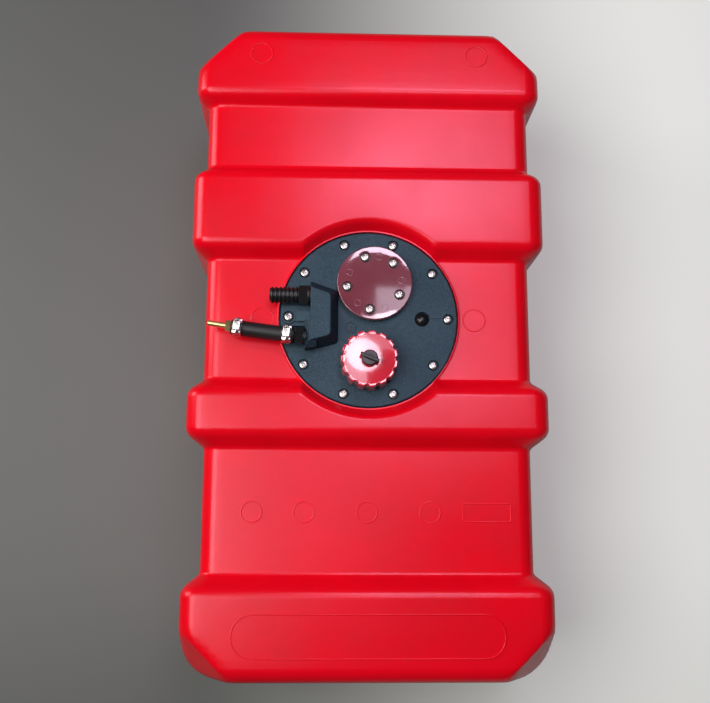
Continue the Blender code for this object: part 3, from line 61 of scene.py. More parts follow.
nodes = frame["nodes"]
print("frame loaded:", len(nodes), "nodes")

# where things are, in metres, as the frame has them
flange = {"centre": (0.0, 0.019), "top": 0.2185, "screwCircle": 0.078}
sender = {"centre": (0.0055, 0.0532), "top": 0.2276}
filler = {"centre": (0.0, -0.024), "top": 0.2423}

# camera: matched to the photograph
camera = {"place": (-0.03693, -0.15156, 1.04027), "turn": (9.5286, -1.6280, 0.5004),
          "focal": 856.87, "width": 710}


def addCamera():
    data = bpy.data.cameras.new("camera")
    data.sensor_fit = "HORIZONTAL"
    data.sensor_width = 36
    data.lens = camera["focal"] / camera["width"] * data.sensor_width
    data.clip_start = 0.01
    data.clip_end = 20
    seen = bpy.data.objects.new("camera", data)
    turnX, turnY, turnZ = (math.radians(angle) for angle in camera["turn"])
    turn = (Matrix.Rotation(turnX, 4, "X") @ Matrix.Rotation(turnY, 4, "Y")
            @ Matrix.Rotation(turnZ, 4, "Z"))
    seen.matrix_world = Matrix.Translation(camera["place"]) @ turn
    bpy.context.scene.collection.objects.link(seen)
    bpy.context.scene.camera = seen


# studio: a floor painted from dark to pale with light and shade, a soft box, three sheen lamps and a
# side box
studio = {
    "floorSize": 6.0, "floorDarkPaintedShade": (0.104, 0.110, 0.101), "floorPalePaintedLight": (0.62, 0.66, 0.61),
    "world": (0.62, 0.63, 0.64), "worldStrength": 0.08, "paintedFloorGlow": 0.30, "floorRough": 0.55,
    # painted light and shade: across X the floor blends from dark to pale, and along Y its shade is
    # evened out
    "paintedLightAcross": (-0.22, 0.42), "paintedShadeAlongY": (-0.45, 0.45, 0.86, 1.45),
    # name, place, aim, size, watts, colour and share of shine
    "lamps": [
        ("keyBox", (-0.85, -0.12, 1.7), (0.0, 0.0, 0.15), (1.0, 1.0), 20.0,
         (1.0, 0.99, 0.97), 0.2),
        ("farSheen", (0.25, 0.82, 1.95), (0.25, 0.82, 0.0), (0.60, 0.40), 8.6,
         (0.95, 0.80, 1.0), 1.0),
        ("nearSheen", (-0.12, -0.12, 1.95), (-0.12, -0.12, 0.0), (0.45, 0.60), 1.5,
         (0.95, 0.80, 1.0), 1.0),
        ("rightSheen", (0.35, 0.245, 1.95), (0.35, 0.245, 0.0), (0.50, 0.45), 2.6,
         (0.95, 0.84, 1.0), 1.0),
        ("sideBox", (-1.6, 0.6, 0.7), (0.0, 0.1, 0.1), (0.7, 1.0), 11.0,
         (1.0, 1.0, 1.0), 0.1),
    ],
    # a round lamp over the cap, and the dark hoop round it that only reflections show
    "capLamp": (0.139, 0.212, 1.94), "capLampRadius": 0.128, "capLampPower": 1.5,
    "capLampColour": (1.0, 0.86, 1.0), "hoop": (0.130, 0.138), "hoopTall": 0.004,
    "hoopDrop": 0.01,
}


def addLamp(name, place, aim, size, power, colour, shine):
    data = bpy.data.lights.new(name, "AREA")
    data.shape = "RECTANGLE"
    data.size, data.size_y = size
    data.energy = power
    data.color = colour
    data.specular_factor = shine
    lamp = bpy.data.objects.new(name, data)
    lamp.location = place
    lamp.rotation_euler = (Vector(aim) - Vector(place)).to_track_quat("-Z", "Y").to_euler()
    bpy.context.scene.collection.objects.link(lamp)


def addStudio():
    world = bpy.data.worlds.new("studioWorld")
    world.use_nodes = True
    sky = world.node_tree.nodes["Background"]
    sky.inputs["Color"].default_value = (*studio["world"], 1)
    sky.inputs["Strength"].default_value = studio["worldStrength"]
    bpy.context.scene.world = world
    for lamp in studio["lamps"]:
        addLamp(*lamp)
    side = studio["capLampRadius"] * 2
    spot = studio["capLamp"]
    addLamp("capLamp", spot, (spot[0], spot[1], 0), (side, side), studio["capLampPower"],
            studio["capLampColour"], 1.0)
    bpy.data.lights["capLamp"].shape = "DISK"
    (inner, outer), tall = studio["hoop"], studio["hoopTall"]
    hoop = turnOnAxis("lampHoop", [(inner, 0), (outer, 0), (outer, tall), (inner, tall)],
                      96, (spot[0], spot[1], spot[2] - studio["hoopDrop"]), closed=True)
    shader = newMaterial("hoopBlack")[1]
    put(shader, "Base Color", (0.0, 0.0, 0.0, 1))
    put(shader, "Specular IOR Level", 0.0)
    hoop.data.materials.append(bpy.data.materials["hoopBlack"])
    hoop.visible_camera = hoop.visible_diffuse = hoop.visible_shadow = False
    bpy.ops.object.select_all(action="DESELECT")
    bpy.ops.mesh.primitive_grid_add(x_subdivisions=12, y_subdivisions=12,
                                    size=studio["floorSize"])
    floor = bpy.context.object
    floor.name = "floor"
    tree, shader = newMaterial("studioFloor")
    put(shader, "Roughness", studio["floorRough"])
    place = objectPlace(tree)
    # painted light and shade: the floor's colour runs from dark to pale across X and is evened out along
    # Y
    across = tree.nodes.new("ShaderNodeSeparateXYZ")
    tree.links.new(place, across.inputs[0])
    paintedLight = remap(tree, across.outputs["X"], *studio["paintedLightAcross"], 0.0, 1.0)
    paintedLight.node.interpolation_type = "SMOOTHSTEP"
    tint = mixColour(tree, paintedLight, studio["floorDarkPaintedShade"], studio["floorPalePaintedLight"])
    paintedShadeAlong = remap(tree, across.outputs["Y"], *studio["paintedShadeAlongY"])
    shade = mixColour(tree, paintedShadeAlong, (0.0, 0.0, 0.0), tint)
    tree.links.new(shade, shader.inputs["Base Color"])
    # painted light: the floor glows towards its pale side, and only camera rays see the glow
    put(shader, "Emission Color", (1.0, 1.0, 0.96, 1.0))
    paintedGlow = calculate(tree, "MULTIPLY", paintedLight, studio["paintedFloorGlow"])
    seen = tree.nodes.new("ShaderNodeLightPath").outputs["Is Camera Ray"]
    tree.links.new(calculate(tree, "MULTIPLY", paintedGlow, seen), shader.inputs["Emission Strength"])
    floor.data.materials.append(bpy.data.materials["studioFloor"])


# small helpers for node trees
def newMaterial(name):
    material = bpy.data.materials.new(name)
    material.use_nodes = True
    return material.node_tree, material.node_tree.nodes["Principled BSDF"]


def put(shader, socket, value):
    shader.inputs[socket].default_value = value


def objectPlace(tree):
    return tree.nodes.new("ShaderNodeTexCoord").outputs["Object"]


def link(tree, source, socket):
    # feed a socket from another socket, or set it to a plain value
    if isinstance(source, bpy.types.NodeSocket):
        tree.links.new(source, socket)
    elif isinstance(source, tuple) and len(source) == 3 and socket.type == "RGBA":
        socket.default_value = (*source, 1)
    else:
        socket.default_value = source


def calculate(tree, operation, first, second=0.0):
    node = tree.nodes.new("ShaderNodeMath")
    node.operation = operation
    link(tree, first, node.inputs[0])
    link(tree, second, node.inputs[1])
    return node.outputs[0]


def remap(tree, value, fromLow, fromHigh, toLow, toHigh):
    node = tree.nodes.new("ShaderNodeMapRange")
    for index, item in enumerate((value, fromLow, fromHigh, toLow, toHigh)):
        link(tree, item, node.inputs[index])
    return node.outputs[0]


def mixColour(tree, factor, first, second):
    node = tree.nodes.new("ShaderNodeMix")
    node.data_type = "RGBA"
    link(tree, factor, node.inputs[0])
    link(tree, first, node.inputs[6])
    link(tree, second, node.inputs[7])
    return node.outputs[2]


def noise(tree, place, scale, detail=2.0, roughness=0.5, stretch=None):
    if stretch:
        mapping = tree.nodes.new("ShaderNodeMapping")
        mapping.inputs["Scale"].default_value = stretch
        tree.links.new(place, mapping.inputs["Vector"])
        place = mapping.outputs[0]
    node = tree.nodes.new("ShaderNodeTexNoise")
    link(tree, place, node.inputs["Vector"])
    link(tree, scale, node.inputs["Scale"])
    link(tree, detail, node.inputs["Detail"])
    link(tree, roughness, node.inputs["Roughness"])
    return node.outputs["Fac"]


def bump(tree, shader, height, strength, distance):
    node = tree.nodes.new("ShaderNodeBump")
    node.inputs["Strength"].default_value = strength
    node.inputs["Distance"].default_value = distance
    tree.links.new(height, node.inputs["Height"])
    tree.links.new(node.outputs[0], shader.inputs["Normal"])


# shared effects, each a node group that is built once
def newGroup(name, inputs, outputs):
    group = bpy.data.node_groups.new(name, "ShaderNodeTree")
    for title, kind, value in inputs:
        socket = group.interface.new_socket(title, in_out="INPUT", socket_type=kind)
        if value is not None:
            socket.default_value = value
    for title, kind in outputs:
        group.interface.new_socket(title, in_out="OUTPUT", socket_type=kind)
    return group, group.nodes.new("NodeGroupInput"), group.nodes.new("NodeGroupOutput")


def buildMouldGrain():
    # fine spark-eroded grain with slow swells, as on moulded plastic
    group, given, result = newGroup(
        "mouldGrain", [("Grain Scale", "NodeSocketFloat", 900.0),
                       ("Swell Scale", "NodeSocketFloat", 30.0),
                       ("Swell Share", "NodeSocketFloat", 0.3)],
        [("Height", "NodeSocketFloat"), ("Mask", "NodeSocketFloat")])
    place = objectPlace(group)
    grain = noise(group, place, given.outputs["Grain Scale"], 3.0, 0.6)
    swell = noise(group, place, given.outputs["Swell Scale"], 1.0, 0.5)
    swelled = calculate(group, "MULTIPLY", swell, given.outputs["Swell Share"])
    group.links.new(calculate(group, "ADD", grain, swelled), result.inputs["Height"])
    group.links.new(remap(group, grain, 0.35, 0.65, 0.0, 1.0), result.inputs["Mask"])


def buildHandling():
    # slow smudges and a few hairline scratches from handling
    group, given, result = newGroup(
        "handling", [("Smudge Scale", "NodeSocketFloat", 14.0),
                     ("Scratch Scale", "NodeSocketFloat", 60.0)],
        [("Smudges", "NodeSocketFloat"), ("Scratches", "NodeSocketFloat")])
    place = objectPlace(group)
    smudge = noise(group, place, given.outputs["Smudge Scale"], 4.0, 0.6)
    group.links.new(remap(group, smudge, 0.3, 0.7, 0.0, 1.0), result.inputs["Smudges"])
    lines = noise(group, place, given.outputs["Scratch Scale"], 6.0, 0.7, (1.0, 14.0, 1.0))
    group.links.new(remap(group, lines, 0.66, 0.72, 0.0, 1.0), result.inputs["Scratches"])


def useGroup(tree, name, **values):
    node = tree.nodes.new("ShaderNodeGroup")
    node.node_tree = bpy.data.node_groups[name]
    for title, value in values.items():
        node.inputs[title.replace("_", " ")].default_value = value
    return node


# finishes: colour, a second tint, roughness low and high, grain scale, grain depth
coatRoughness = 0.04
plastics = {
    "tankRed": {"colour": (0.83, 0.0008, 0.011), "tint": (0.72, 0.0006, 0.009),
                "rough": (0.20, 0.27), "grain": 620.0, "depth": 0.00008, "swell": 26.0,
                "swellShare": 1.6, "coat": 0.0, "specular": 0.5, "sheen": (1.0, 0.62, 0.76)},
    "flangeBlack": {"colour": (0.0015, 0.008, 0.015), "tint": (0.018, 0.046, 0.070),
                    "rough": (0.42, 0.56), "grain": 900.0, "depth": 0.00024, "swell": 60.0,
                    "swellShare": 0.3, "coat": 0.0, "specular": 0.5, "sheen": (0.65, 0.9, 1.0),
                    "speckle": True},
    "coverRed": {"colour": (0.17, 0.034, 0.050), "tint": (0.22, 0.046, 0.066),
                 "rough": (0.05, 0.09), "grain": 300.0, "depth": 0.00001, "swell": 22.0,
                 "swellShare": 2.5, "coat": 0.9, "specular": 0.6},
    "capRed": {"colour": (0.68, 0.026, 0.052), "tint": (0.58, 0.014, 0.032),
               "rough": (0.05, 0.09), "grain": 700.0, "depth": 0.00002, "swell": 40.0,
               "swellShare": 2.0, "coat": 1.0, "specular": 0.6},
    "fittingBlack": {"colour": (0.006, 0.006, 0.007), "tint": (0.011, 0.011, 0.012),
                     "rough": (0.20, 0.34), "grain": 900.0, "depth": 0.00003, "swell": 50.0,
                     "swellShare": 0.6, "coat": 0.0, "specular": 0.5},
    "rubberBlack": {"colour": (0.010, 0.010, 0.011), "tint": (0.018, 0.018, 0.019),
                    "rough": (0.38, 0.52), "grain": 700.0, "depth": 0.00003, "swell": 60.0,
                    "swellShare": 0.8, "coat": 0.0, "specular": 0.4},
    "clearPlastic": {"colour": (0.60, 0.60, 0.56), "tint": (0.52, 0.52, 0.48),
                     "rough": (0.22, 0.32), "grain": 800.0, "depth": 0.00002, "swell": 60.0,
                     "swellShare": 0.5, "coat": 0.0, "specular": 0.5},
}
metals = {
    "screwSteel": {"colour": (0.52, 0.51, 0.47), "tint": (0.36, 0.35, 0.32),
                   "rough": (0.20, 0.38), "grain": 1400.0, "depth": 0.00002,
                   "stretch": (1.0, 1.0, 1.0)},
    "clampSteel": {"colour": (0.70, 0.69, 0.66), "tint": (0.55, 0.54, 0.52),
                   "rough": (0.18, 0.34), "grain": 900.0, "depth": 0.00001,
                   "stretch": (8.0, 0.6, 1.0)},
    "brass": {"colour": (0.84, 0.74, 0.38), "tint": (0.72, 0.58, 0.25),
              "rough": (0.18, 0.34), "grain": 1200.0, "depth": 0.00001,
              "stretch": (6.0, 1.0, 1.0)},
}


def addPlastic(name):
    finish = plastics[name]
    tree, shader = newMaterial(name)
    marks = useGroup(tree, "handling")
    grain = useGroup(tree, "mouldGrain", Grain_Scale=finish["grain"],
                     Swell_Scale=finish["swell"], Swell_Share=finish["swellShare"])
    spread = grain.outputs["Mask"] if finish.get("speckle") else marks.outputs["Smudges"]
    colour = mixColour(tree, spread, finish["colour"], finish["tint"])
    link(tree, colour, shader.inputs["Base Color"])
    put(shader, "Specular Tint", (*finish.get("sheen", (1.0, 1.0, 1.0)), 1))
    low, high = finish["rough"]
    link(tree, remap(tree, marks.outputs["Smudges"], 0.0, 1.0, low, high),
         shader.inputs["Roughness"])
    put(shader, "Specular IOR Level", finish["specular"])
    put(shader, "Coat Weight", finish["coat"])
    put(shader, "Coat Roughness", coatRoughness)
    bump(tree, shader, grain.outputs["Height"], 1.0, finish["depth"])


def addMetal(name):
    finish = metals[name]
    tree, shader = newMaterial(name)
    marks = useGroup(tree, "handling", Smudge_Scale=90.0, Scratch_Scale=160.0)
    lines = noise(tree, objectPlace(tree), finish["grain"], 3.0, 0.6, finish["stretch"])
    colour = mixColour(tree, marks.outputs["Smudges"], finish["colour"], finish["tint"])
    link(tree, colour, shader.inputs["Base Color"])
    put(shader, "Metallic", 1.0)
    low, high = finish["rough"]
    link(tree, remap(tree, lines, 0.3, 0.7, low, high), shader.inputs["Roughness"])
    bump(tree, shader, lines, 1.0, finish["depth"])


def dress(piece, *materialNames):
    piece.data.materials.clear()
    for name in materialNames:
        piece.data.materials.append(bpy.data.materials[name])


nodeFinishes = {
    "tankRed": ("tank_shell",),
    "flangeBlack": ("mounting_flange", "outlet_housing"),
    "coverRed": ("sender_cover",),
    "capRed": ("filler_cap",),
    "fittingBlack": ("vent_knob", "vent_hose_tail", "fuel_outlet_fitting", "port_plug"),
    "rubberBlack": ("flange_gasket", "sender_gasket", "cap_gasket", "vent_o_ring",
                    "vent_port_o_ring", "outlet_port_o_ring", "vent_tail_washer",
                    "outlet_fitting_washer", "fuel_hose"),
    "clearPlastic": ("pickup_tube", "pickup_strainer"),
    "clampSteel": ("hose_clamp_1", "hose_clamp_2"),
    "brass": ("brass_nipple",),
}


def dressNodes():
    finishOf = {name: finish for finish, names in nodeFinishes.items() for name in names}
    for name, piece in nodes.items():
        dress(piece, finishOf.get(name, "screwSteel"))


buildMouldGrain()
buildHandling()
for finishName in plastics:
    addPlastic(finishName)
for finishName in metals:
    addMetal(finishName)
dressNodes()
print("finishes on the CAD nodes")


# shaping helpers
def startEdit(piece):
    bpy.context.view_layer.objects.active = piece
    piece.select_set(True)
    bpy.ops.object.mode_set(mode="EDIT")
    bpy.ops.mesh.select_mode(type="VERT")


def endEdit():
    bpy.ops.object.mode_set(mode="OBJECT")


def clearSelection():
    if bpy.context.object and bpy.context.object.mode == "EDIT":
        endEdit()
    bpy.ops.object.select_all(action="DESELECT")


def settle(piece):
    # move a piece's place, turn and size into its mesh
    clearSelection()
    piece.select_set(True)
    bpy.context.view_layer.objects.active = piece
    bpy.ops.object.transform_apply(location=True, rotation=True, scale=True)


def applyModifier(piece, kind, **settings):
    clearSelection()
    piece.select_set(True)
    bpy.context.view_layer.objects.active = piece
    modifier = piece.modifiers.new(kind.lower(), kind)
    for title, value in settings.items():
        setattr(modifier, title, value)
    bpy.ops.object.modifier_apply(modifier=modifier.name)


def joinOrCut(piece, tool, operation):
    applyModifier(piece, "BOOLEAN", object=tool, operation=operation, solver="EXACT")
    bpy.data.objects.remove(tool)


def smooth(piece, angle=35):
    clearSelection()
    piece.select_set(True)
    bpy.context.view_layer.objects.active = piece
    bpy.ops.object.shade_smooth_by_angle(angle=math.radians(angle), keep_sharp_edges=False)


def turnOnAxis(name, outline, steps, place=(0, 0, 0), closed=False):
    # spin an outline of (radius, height) points into a solid: open ones end on the axis
    clearSelection()
    bpy.ops.mesh.primitive_plane_add(size=0.01)
    piece = bpy.context.object
    piece.name = piece.data.name = name
    startEdit(piece)
    bpy.ops.mesh.delete(type="VERT")
    mesh = bmesh.from_edit_mesh(piece.data)
    points = [mesh.verts.new((radius, 0, height)) for radius, height in outline]
    for first, second in zip(points, points[1:]):
        mesh.edges.new((first, second))
    if closed:
        mesh.edges.new((points[-1], points[0]))
    bmesh.update_edit_mesh(piece.data)
    bpy.ops.mesh.select_all(action="SELECT")
    bpy.ops.mesh.spin(steps=steps, angle=math.tau, center=(0, 0, 0), axis=(0, 0, 1))
    bpy.ops.mesh.select_all(action="SELECT")
    bpy.ops.mesh.remove_doubles(threshold=0.000005)
    bpy.ops.mesh.normals_make_consistent(inside=False)
    endEdit()
    piece.location = place
    settle(piece)
    return piece


def arcPoints(centre, radius, start, end, steps):
    # points of an arc in the (radius, height) plane, angles in degrees
    return [(centre[0] + radius * math.cos(math.radians(start + (end - start) * step / steps)),
             centre[1] + radius * math.sin(math.radians(start + (end - start) * step / steps)))
            for step in range(steps + 1)]


def finish(piece, finishName, body="tank", stands=(), angle=35):
    # dress a finished piece, smooth it and let it ride on its body
    smooth(piece, angle)
    dress(piece, finishName)
    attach(piece, body)
    if stands:
        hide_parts(*stands)
    return piece


addCamera()
addStudio()
print("camera and studio")


# tank body: a block cut into strips, each strip drawn in to its valley, the corners pressed flat
tank = {
    "halfWidth": 0.1785, "halfLength": 0.325, "halfHeight": 0.115, "wall": 0.005,
    "edge": 0.017, "corner": 0.028, "draft": 2.0,
    "slopes": [(-0.232, 1, 0.0165), (-0.1005, -1, 0.0165), (-0.047, 1, 0.0145),
               (0.085, -1, 0.0145), (0.1685, 1, 0.0115), (0.244, -1, 0.0115)],
    "slopeAngle": 52.0, "crest": 0.014, "root": 0.006,
    "facetSize": 0.041, "facetAngle": 62.5, "facetSoftness": 0.0016,
    "seatTop": 0.2099, "lipTop": 0.2191, "portRadius": 0.066, "recessRadius": 0.0881,
    "bossRadius": 0.0898, "pocketRadius": 0.1012, "lipRound": 0.0012, "endDraftFrom": 0.27,
    "pocketWall": [(0.0893, 0.2191), (0.0903, 0.2203), (0.0930, 0.2240), (0.0944, 0.2260),
                   (0.0957, 0.2275), (0.0972, 0.2287), (0.0990, 0.2296), (0.1012, 0.23005)],
}


def slopeProfile(middle, side, depth, inset, crestSteps, rootSteps):
    # (place along Y, depth) over one slope. Side is 1 where the valley is beyond it
    angle = math.radians(tank["slopeAngle"])
    crest, root = tank["crest"] - inset, tank["root"] + inset
    shift = -inset * math.tan(angle / 2)
    half = depth / 2 / math.tan(angle)
    start = shift - half - crest * math.tan(angle / 2)
    end = shift + half + root * math.tan(angle / 2)
    points = []
    for step in range(crestSteps + 1):
        turn = angle * step / crestSteps
        points.append((start + crest * math.sin(turn), crest * (1 - math.cos(turn))))
    for step in range(rootSteps + 1):
        turn = angle * (1 - step / rootSteps)
        points.append((end - root * math.sin(turn), depth - root * (1 - math.cos(turn))))
    return sorted((middle + side * along, down) for along, down in points)


def levelsOf(half, edge, coarse, steps):
    # cuts across one side of the block: plain ones, then close ones in the rounded edge
    levels = [0.0] + coarse
    for step in range(steps + 1):
        levels.append(half - edge + edge * math.tan(math.pi / 4 * step / steps))
    return sorted({round(sign * level, 6) for level in levels for sign in (-1, 1)})


def shapeTank(point, depthAt, inset):
    # where a point of the plain block goes on the moulded tank
    hw, hl, hz = (tank[side] - inset for side in ("halfWidth", "halfLength", "halfHeight"))
    corner, edge = tank["corner"] - inset, tank["edge"] - inset
    x, y, z = (abs(value) for value in point)
    sign = [math.copysign(1, value) for value in point]
    coreX, coreY = min(x, hw - corner), min(y, hl - corner)
    outX, outY = x - coreX, y - coreY
    reach = max(outX, outY)
    if reach > 0:
        along = math.hypot(outX, outY)
        inwards, down = corner - reach, hz - z
        if inwards < edge and down < edge:
            far = math.hypot(edge - inwards, edge - down)
            inwards, down = (edge - (edge - inwards) * edge / far,
                             edge - (edge - down) * edge / far)
        x = coreX + outX / along * (corner - inwards)
        y = coreY + outY / along * (corner - inwards)
        z = hz - down
    depth = depthAt(sign[1] * y)
    x *= (hw - depth) / hw
    z *= (hz - depth) / hz
    lean = min(z, tank["halfHeight"] - tank["edge"]) * math.tan(math.radians(tank["draft"]))
    x -= lean * x / hw
    leanFrom = tank["endDraftFrom"]
    y -= lean * max(0.0, min(1.0, (y - leanFrom) / (hl - leanFrom)))
    x, y, z = pressCorner(Vector((x, y, z)), inset)
    return Vector((sign[0] * x, sign[1] * y, sign[2] * z + tank["halfHeight"]))


def pressCorner(point, inset):
    # press a point that stands out of the leaning corner plane back to it, softly
    shoulder = tank["halfHeight"] - tank["edge"]
    lean = shoulder * math.tan(math.radians(tank["draft"]))
    angle = math.radians(tank["facetAngle"])
    normal = Vector((math.sin(angle) * math.sqrt(0.5), math.sin(angle) * math.sqrt(0.5),
                     math.cos(angle)))
    onPlane = Vector((tank["halfWidth"] - lean, tank["halfLength"] - lean - tank["facetSize"],
                      shoulder))
    out = (point - onPlane).dot(normal) + inset
    soft = tank["facetSoftness"]
    if out < -8 * soft:
        return point
    pressed = soft * math.log(1 + math.exp(out / soft)) if out < 30 * soft else out
    return point - normal * pressed


def tankBlock(name, inset, fine):
    # the closed form of the tank, drawn in by an inset
    hw, hl, hz = (tank[side] - inset for side in ("halfWidth", "halfLength", "halfHeight"))
    edge = tank["edge"] - inset
    profile = []
    for middle, side, depth in tank["slopes"]:
        profile += slopeProfile(middle, side, depth, inset, 6 if fine else 2, 4 if fine else 1)

    def depthAt(y):
        if y <= profile[0][0] or y >= profile[-1][0]:
            return 0.0
        for (lowY, lowDepth), (highY, highDepth) in zip(profile, profile[1:]):
            if lowY <= y <= highY:
                return lowDepth + (highDepth - lowDepth) * (y - lowY) / (highY - lowY)
        return 0.0

    near = 0.0075 if fine else 0.016
    coarseX = [hw - edge - near * step for step in range(1, 7 if fine else 4)] + [0.07]
    coarseY = [hl - edge - near * step for step in range(1, 7 if fine else 4)]
    coarseZ = [hz - edge - near * step for step in range(1, 8 if fine else 4)]
    steps = 5 if fine else 2
    cuts = [((1, 0, 0), level) for level in levelsOf(hw, edge, coarseX, steps)]
    cuts += [((0, 1, 0), level) for level in levelsOf(hl, edge, coarseY, steps)]
    cuts += [((0, 1, 0), along) for along, depth in profile]
    cuts += [((0, 0, 1), level) for level in levelsOf(hz, edge, coarseZ, steps)]
    clearSelection()
    bpy.ops.mesh.primitive_cube_add(size=2)
    block = bpy.context.object
    block.name = block.data.name = name
    block.scale = (hw, hl, hz)
    settle(block)
    startEdit(block)
    for direction, level in cuts:
        bpy.ops.mesh.select_all(action="SELECT")
        place = [axis * level for axis in direction]
        bpy.ops.mesh.bisect(plane_co=place, plane_no=direction, threshold=0.00001)
    endEdit()
    for vertex in block.data.vertices:
        vertex.co = shapeTank(vertex.co, depthAt, inset)
    return block


def makeTank():
    body = tankBlock("tankBody", 0.0, True)
    cavity = tankBlock("tankCavity", tank["wall"], False)
    x, y = flange["centre"]
    top = 2 * tank["halfHeight"] + 0.002
    floor = tank["seatTop"] - 0.014
    blank = turnOnAxis("seatBlank", [(0, floor), (tank["pocketRadius"] + tank["wall"], floor),
                                     (tank["pocketRadius"] + tank["wall"], top), (0, top)],
                       72, (x, y, 0))
    joinOrCut(cavity, blank, "DIFFERENCE")
    soft = tank["lipRound"]
    lip = arcPoints((tank["bossRadius"] - soft, tank["lipTop"] - soft), soft, 0, 90, 4)
    boss = turnOnAxis("flangeBoss", [(0, floor + 0.007), (tank["bossRadius"], floor + 0.007)]
                      + lip + [(0, tank["lipTop"])], 128, (x, y, 0))
    joinOrCut(body, boss, "UNION")
    opening = turnOnAxis("flangeOpening", [
        (0, floor - 0.001), (tank["portRadius"], floor - 0.001),
        (tank["portRadius"], tank["seatTop"]), (tank["recessRadius"], tank["seatTop"]),
        (tank["recessRadius"], tank["lipTop"])]
        + tank["pocketWall"] + [(tank["pocketRadius"], top), (0, top)], 128, (x, y, 0))
    joinOrCut(body, cavity, "DIFFERENCE")
    joinOrCut(body, opening, "DIFFERENCE")
    finish(body, "tankRed", stands=["tank_shell"], angle=38)
    applyModifier(body, "WEIGHTED_NORMAL", keep_sharp=True)
    print("tank body:", len(body.data.polygons), "faces")


makeTank()


# plain raised outlines moulded into the top of the tank, all left bare
marks = {
    "height": 0.0007, "sunk": 0.0005, "line": 0.0013, "steps": 64,
    "bandRings": [(-0.109, 0.291, 0.230), (0.109, 0.291, 0.230)],
    "portRings": [(-0.104, 0.019, 0.2155), (0.104, 0.019, 0.2155)], "ringRadius": 0.0115,
    "valleyRings": [(-0.1107, -0.1675, 0.2135), (-0.0612, -0.1675, 0.2135),
                    (-0.0012, -0.1675, 0.2135), (0.0591, -0.1675, 0.2135)],
    "valleyRadius": 0.0105,
    "plate": (0.1134, -0.1675, 0.2135), "plateHalf": (0.0236, 0.0092), "plateRound": 0.003,
    "panel": (0.0, -0.27845, 0.230), "panelHalf": (0.126, 0.02005), "panelRound": 0.0195,
}


def liftOutline(piece, line, height, sunk, place):
    # an inset flat face loses its middle, then gets its height
    startEdit(piece)
    bpy.ops.mesh.select_all(action="SELECT")
    bpy.ops.mesh.inset(thickness=line)
    bpy.ops.mesh.delete(type="FACE")
    bpy.ops.mesh.select_all(action="SELECT")
    bpy.ops.mesh.extrude_region_move(TRANSFORM_OT_translate={"value": (0, 0, height + sunk)})
    bpy.ops.mesh.select_all(action="SELECT")
    bpy.ops.mesh.normals_make_consistent(inside=False)
    endEdit()
    piece.location = (place[0], place[1], place[2] - sunk)
    settle(piece)
    applyModifier(piece, "BEVEL", width=height * 0.4, segments=2, limit_method="ANGLE")


def ringMark(name, place, radius, finishName="tankRed", line=None, height=None):
    clearSelection()
    bpy.ops.mesh.primitive_circle_add(vertices=marks["steps"], radius=radius, fill_type="NGON")
    piece = bpy.context.object
    piece.name = piece.data.name = name
    liftOutline(piece, line or marks["line"], height or marks["height"], marks["sunk"], place)
    finish(piece, finishName, angle=50)


def panelMark(name, place, half, rounding):
    clearSelection()
    bpy.ops.mesh.primitive_plane_add(size=2)
    piece = bpy.context.object
    piece.name = piece.data.name = name
    piece.scale = (*half, 1)
    settle(piece)
    startEdit(piece)
    bpy.ops.mesh.select_all(action="SELECT")
    bpy.ops.mesh.bevel(offset=rounding, segments=12, affect="VERTICES")
    endEdit()
    liftOutline(piece, marks["line"], marks["height"], marks["sunk"], place)
    finish(piece, "tankRed", angle=50)


for number, place in enumerate(marks["bandRings"] + marks["portRings"], 1):
    ringMark(f"tank_ring_{number}", place, marks["ringRadius"])
for number, place in enumerate(marks["valleyRings"], 5):
    ringMark(f"tank_ring_{number}", place, marks["valleyRadius"])
panelMark("tank_plate_outline", marks["plate"], marks["plateHalf"], marks["plateRound"])
panelMark("tank_panel_outline", marks["panel"], marks["panelHalf"], marks["panelRound"])
print("outlines on the tank")


# blocks with softened edges, and pieces laid along the fittings
def softBlock(name, half, rounding, place=(0, 0, 0), segments=3):
    clearSelection()
    bpy.ops.mesh.primitive_cube_add(size=2)
    piece = bpy.context.object
    piece.name = piece.data.name = name
    piece.scale = half
    settle(piece)
    startEdit(piece)
    bpy.ops.mesh.select_all(action="SELECT")
    bpy.ops.mesh.bevel(offset=rounding, segments=segments, affect="EDGES")
    endEdit()
    piece.location = place
    settle(piece)
    return piece


def hexBar(name, flats, low, high, chamfer):
    # six sides, its corners turned down at both ends
    radius = flats / math.sqrt(3)
    piece = turnOnAxis(name, [(0, low), (radius, low), (radius, high), (0, high)], 6)
    cone = turnOnAxis("chamferTool", [(0, low), (radius - chamfer, low),
                                      (radius + 0.0001, low + chamfer * 0.6),
                                      (radius + 0.0001, high - chamfer * 0.6),
                                      (radius - chamfer, high), (0, high)], 48)
    joinOrCut(piece, cone, "INTERSECT")
    return piece


def layAlong(piece, point, heading):
    # the piece's Z goes out along the fitting, its X goes up
    turn = Matrix(((0, math.sin(heading), -math.cos(heading)),
                   (0, math.cos(heading), math.sin(heading)), (1, 0, 0))).to_4x4()
    piece.matrix_world = Matrix.Translation(point) @ turn
    settle(piece)


# pan-head screws with a cross recess
screw = {"head": 0.00425, "headHeight": 0.0028, "shank": 0.00185, "point": 0.0022,
         "wing": 0.0026, "wingWidth": 0.00078, "recess": 0.0019, "steps": 40, "long": 0.01}
screwNames = [f"flange_screw_{number:02d}" for number in range(1, 11)]
screwNames += [f"cover_screw_{number}" for number in range(1, 6)]


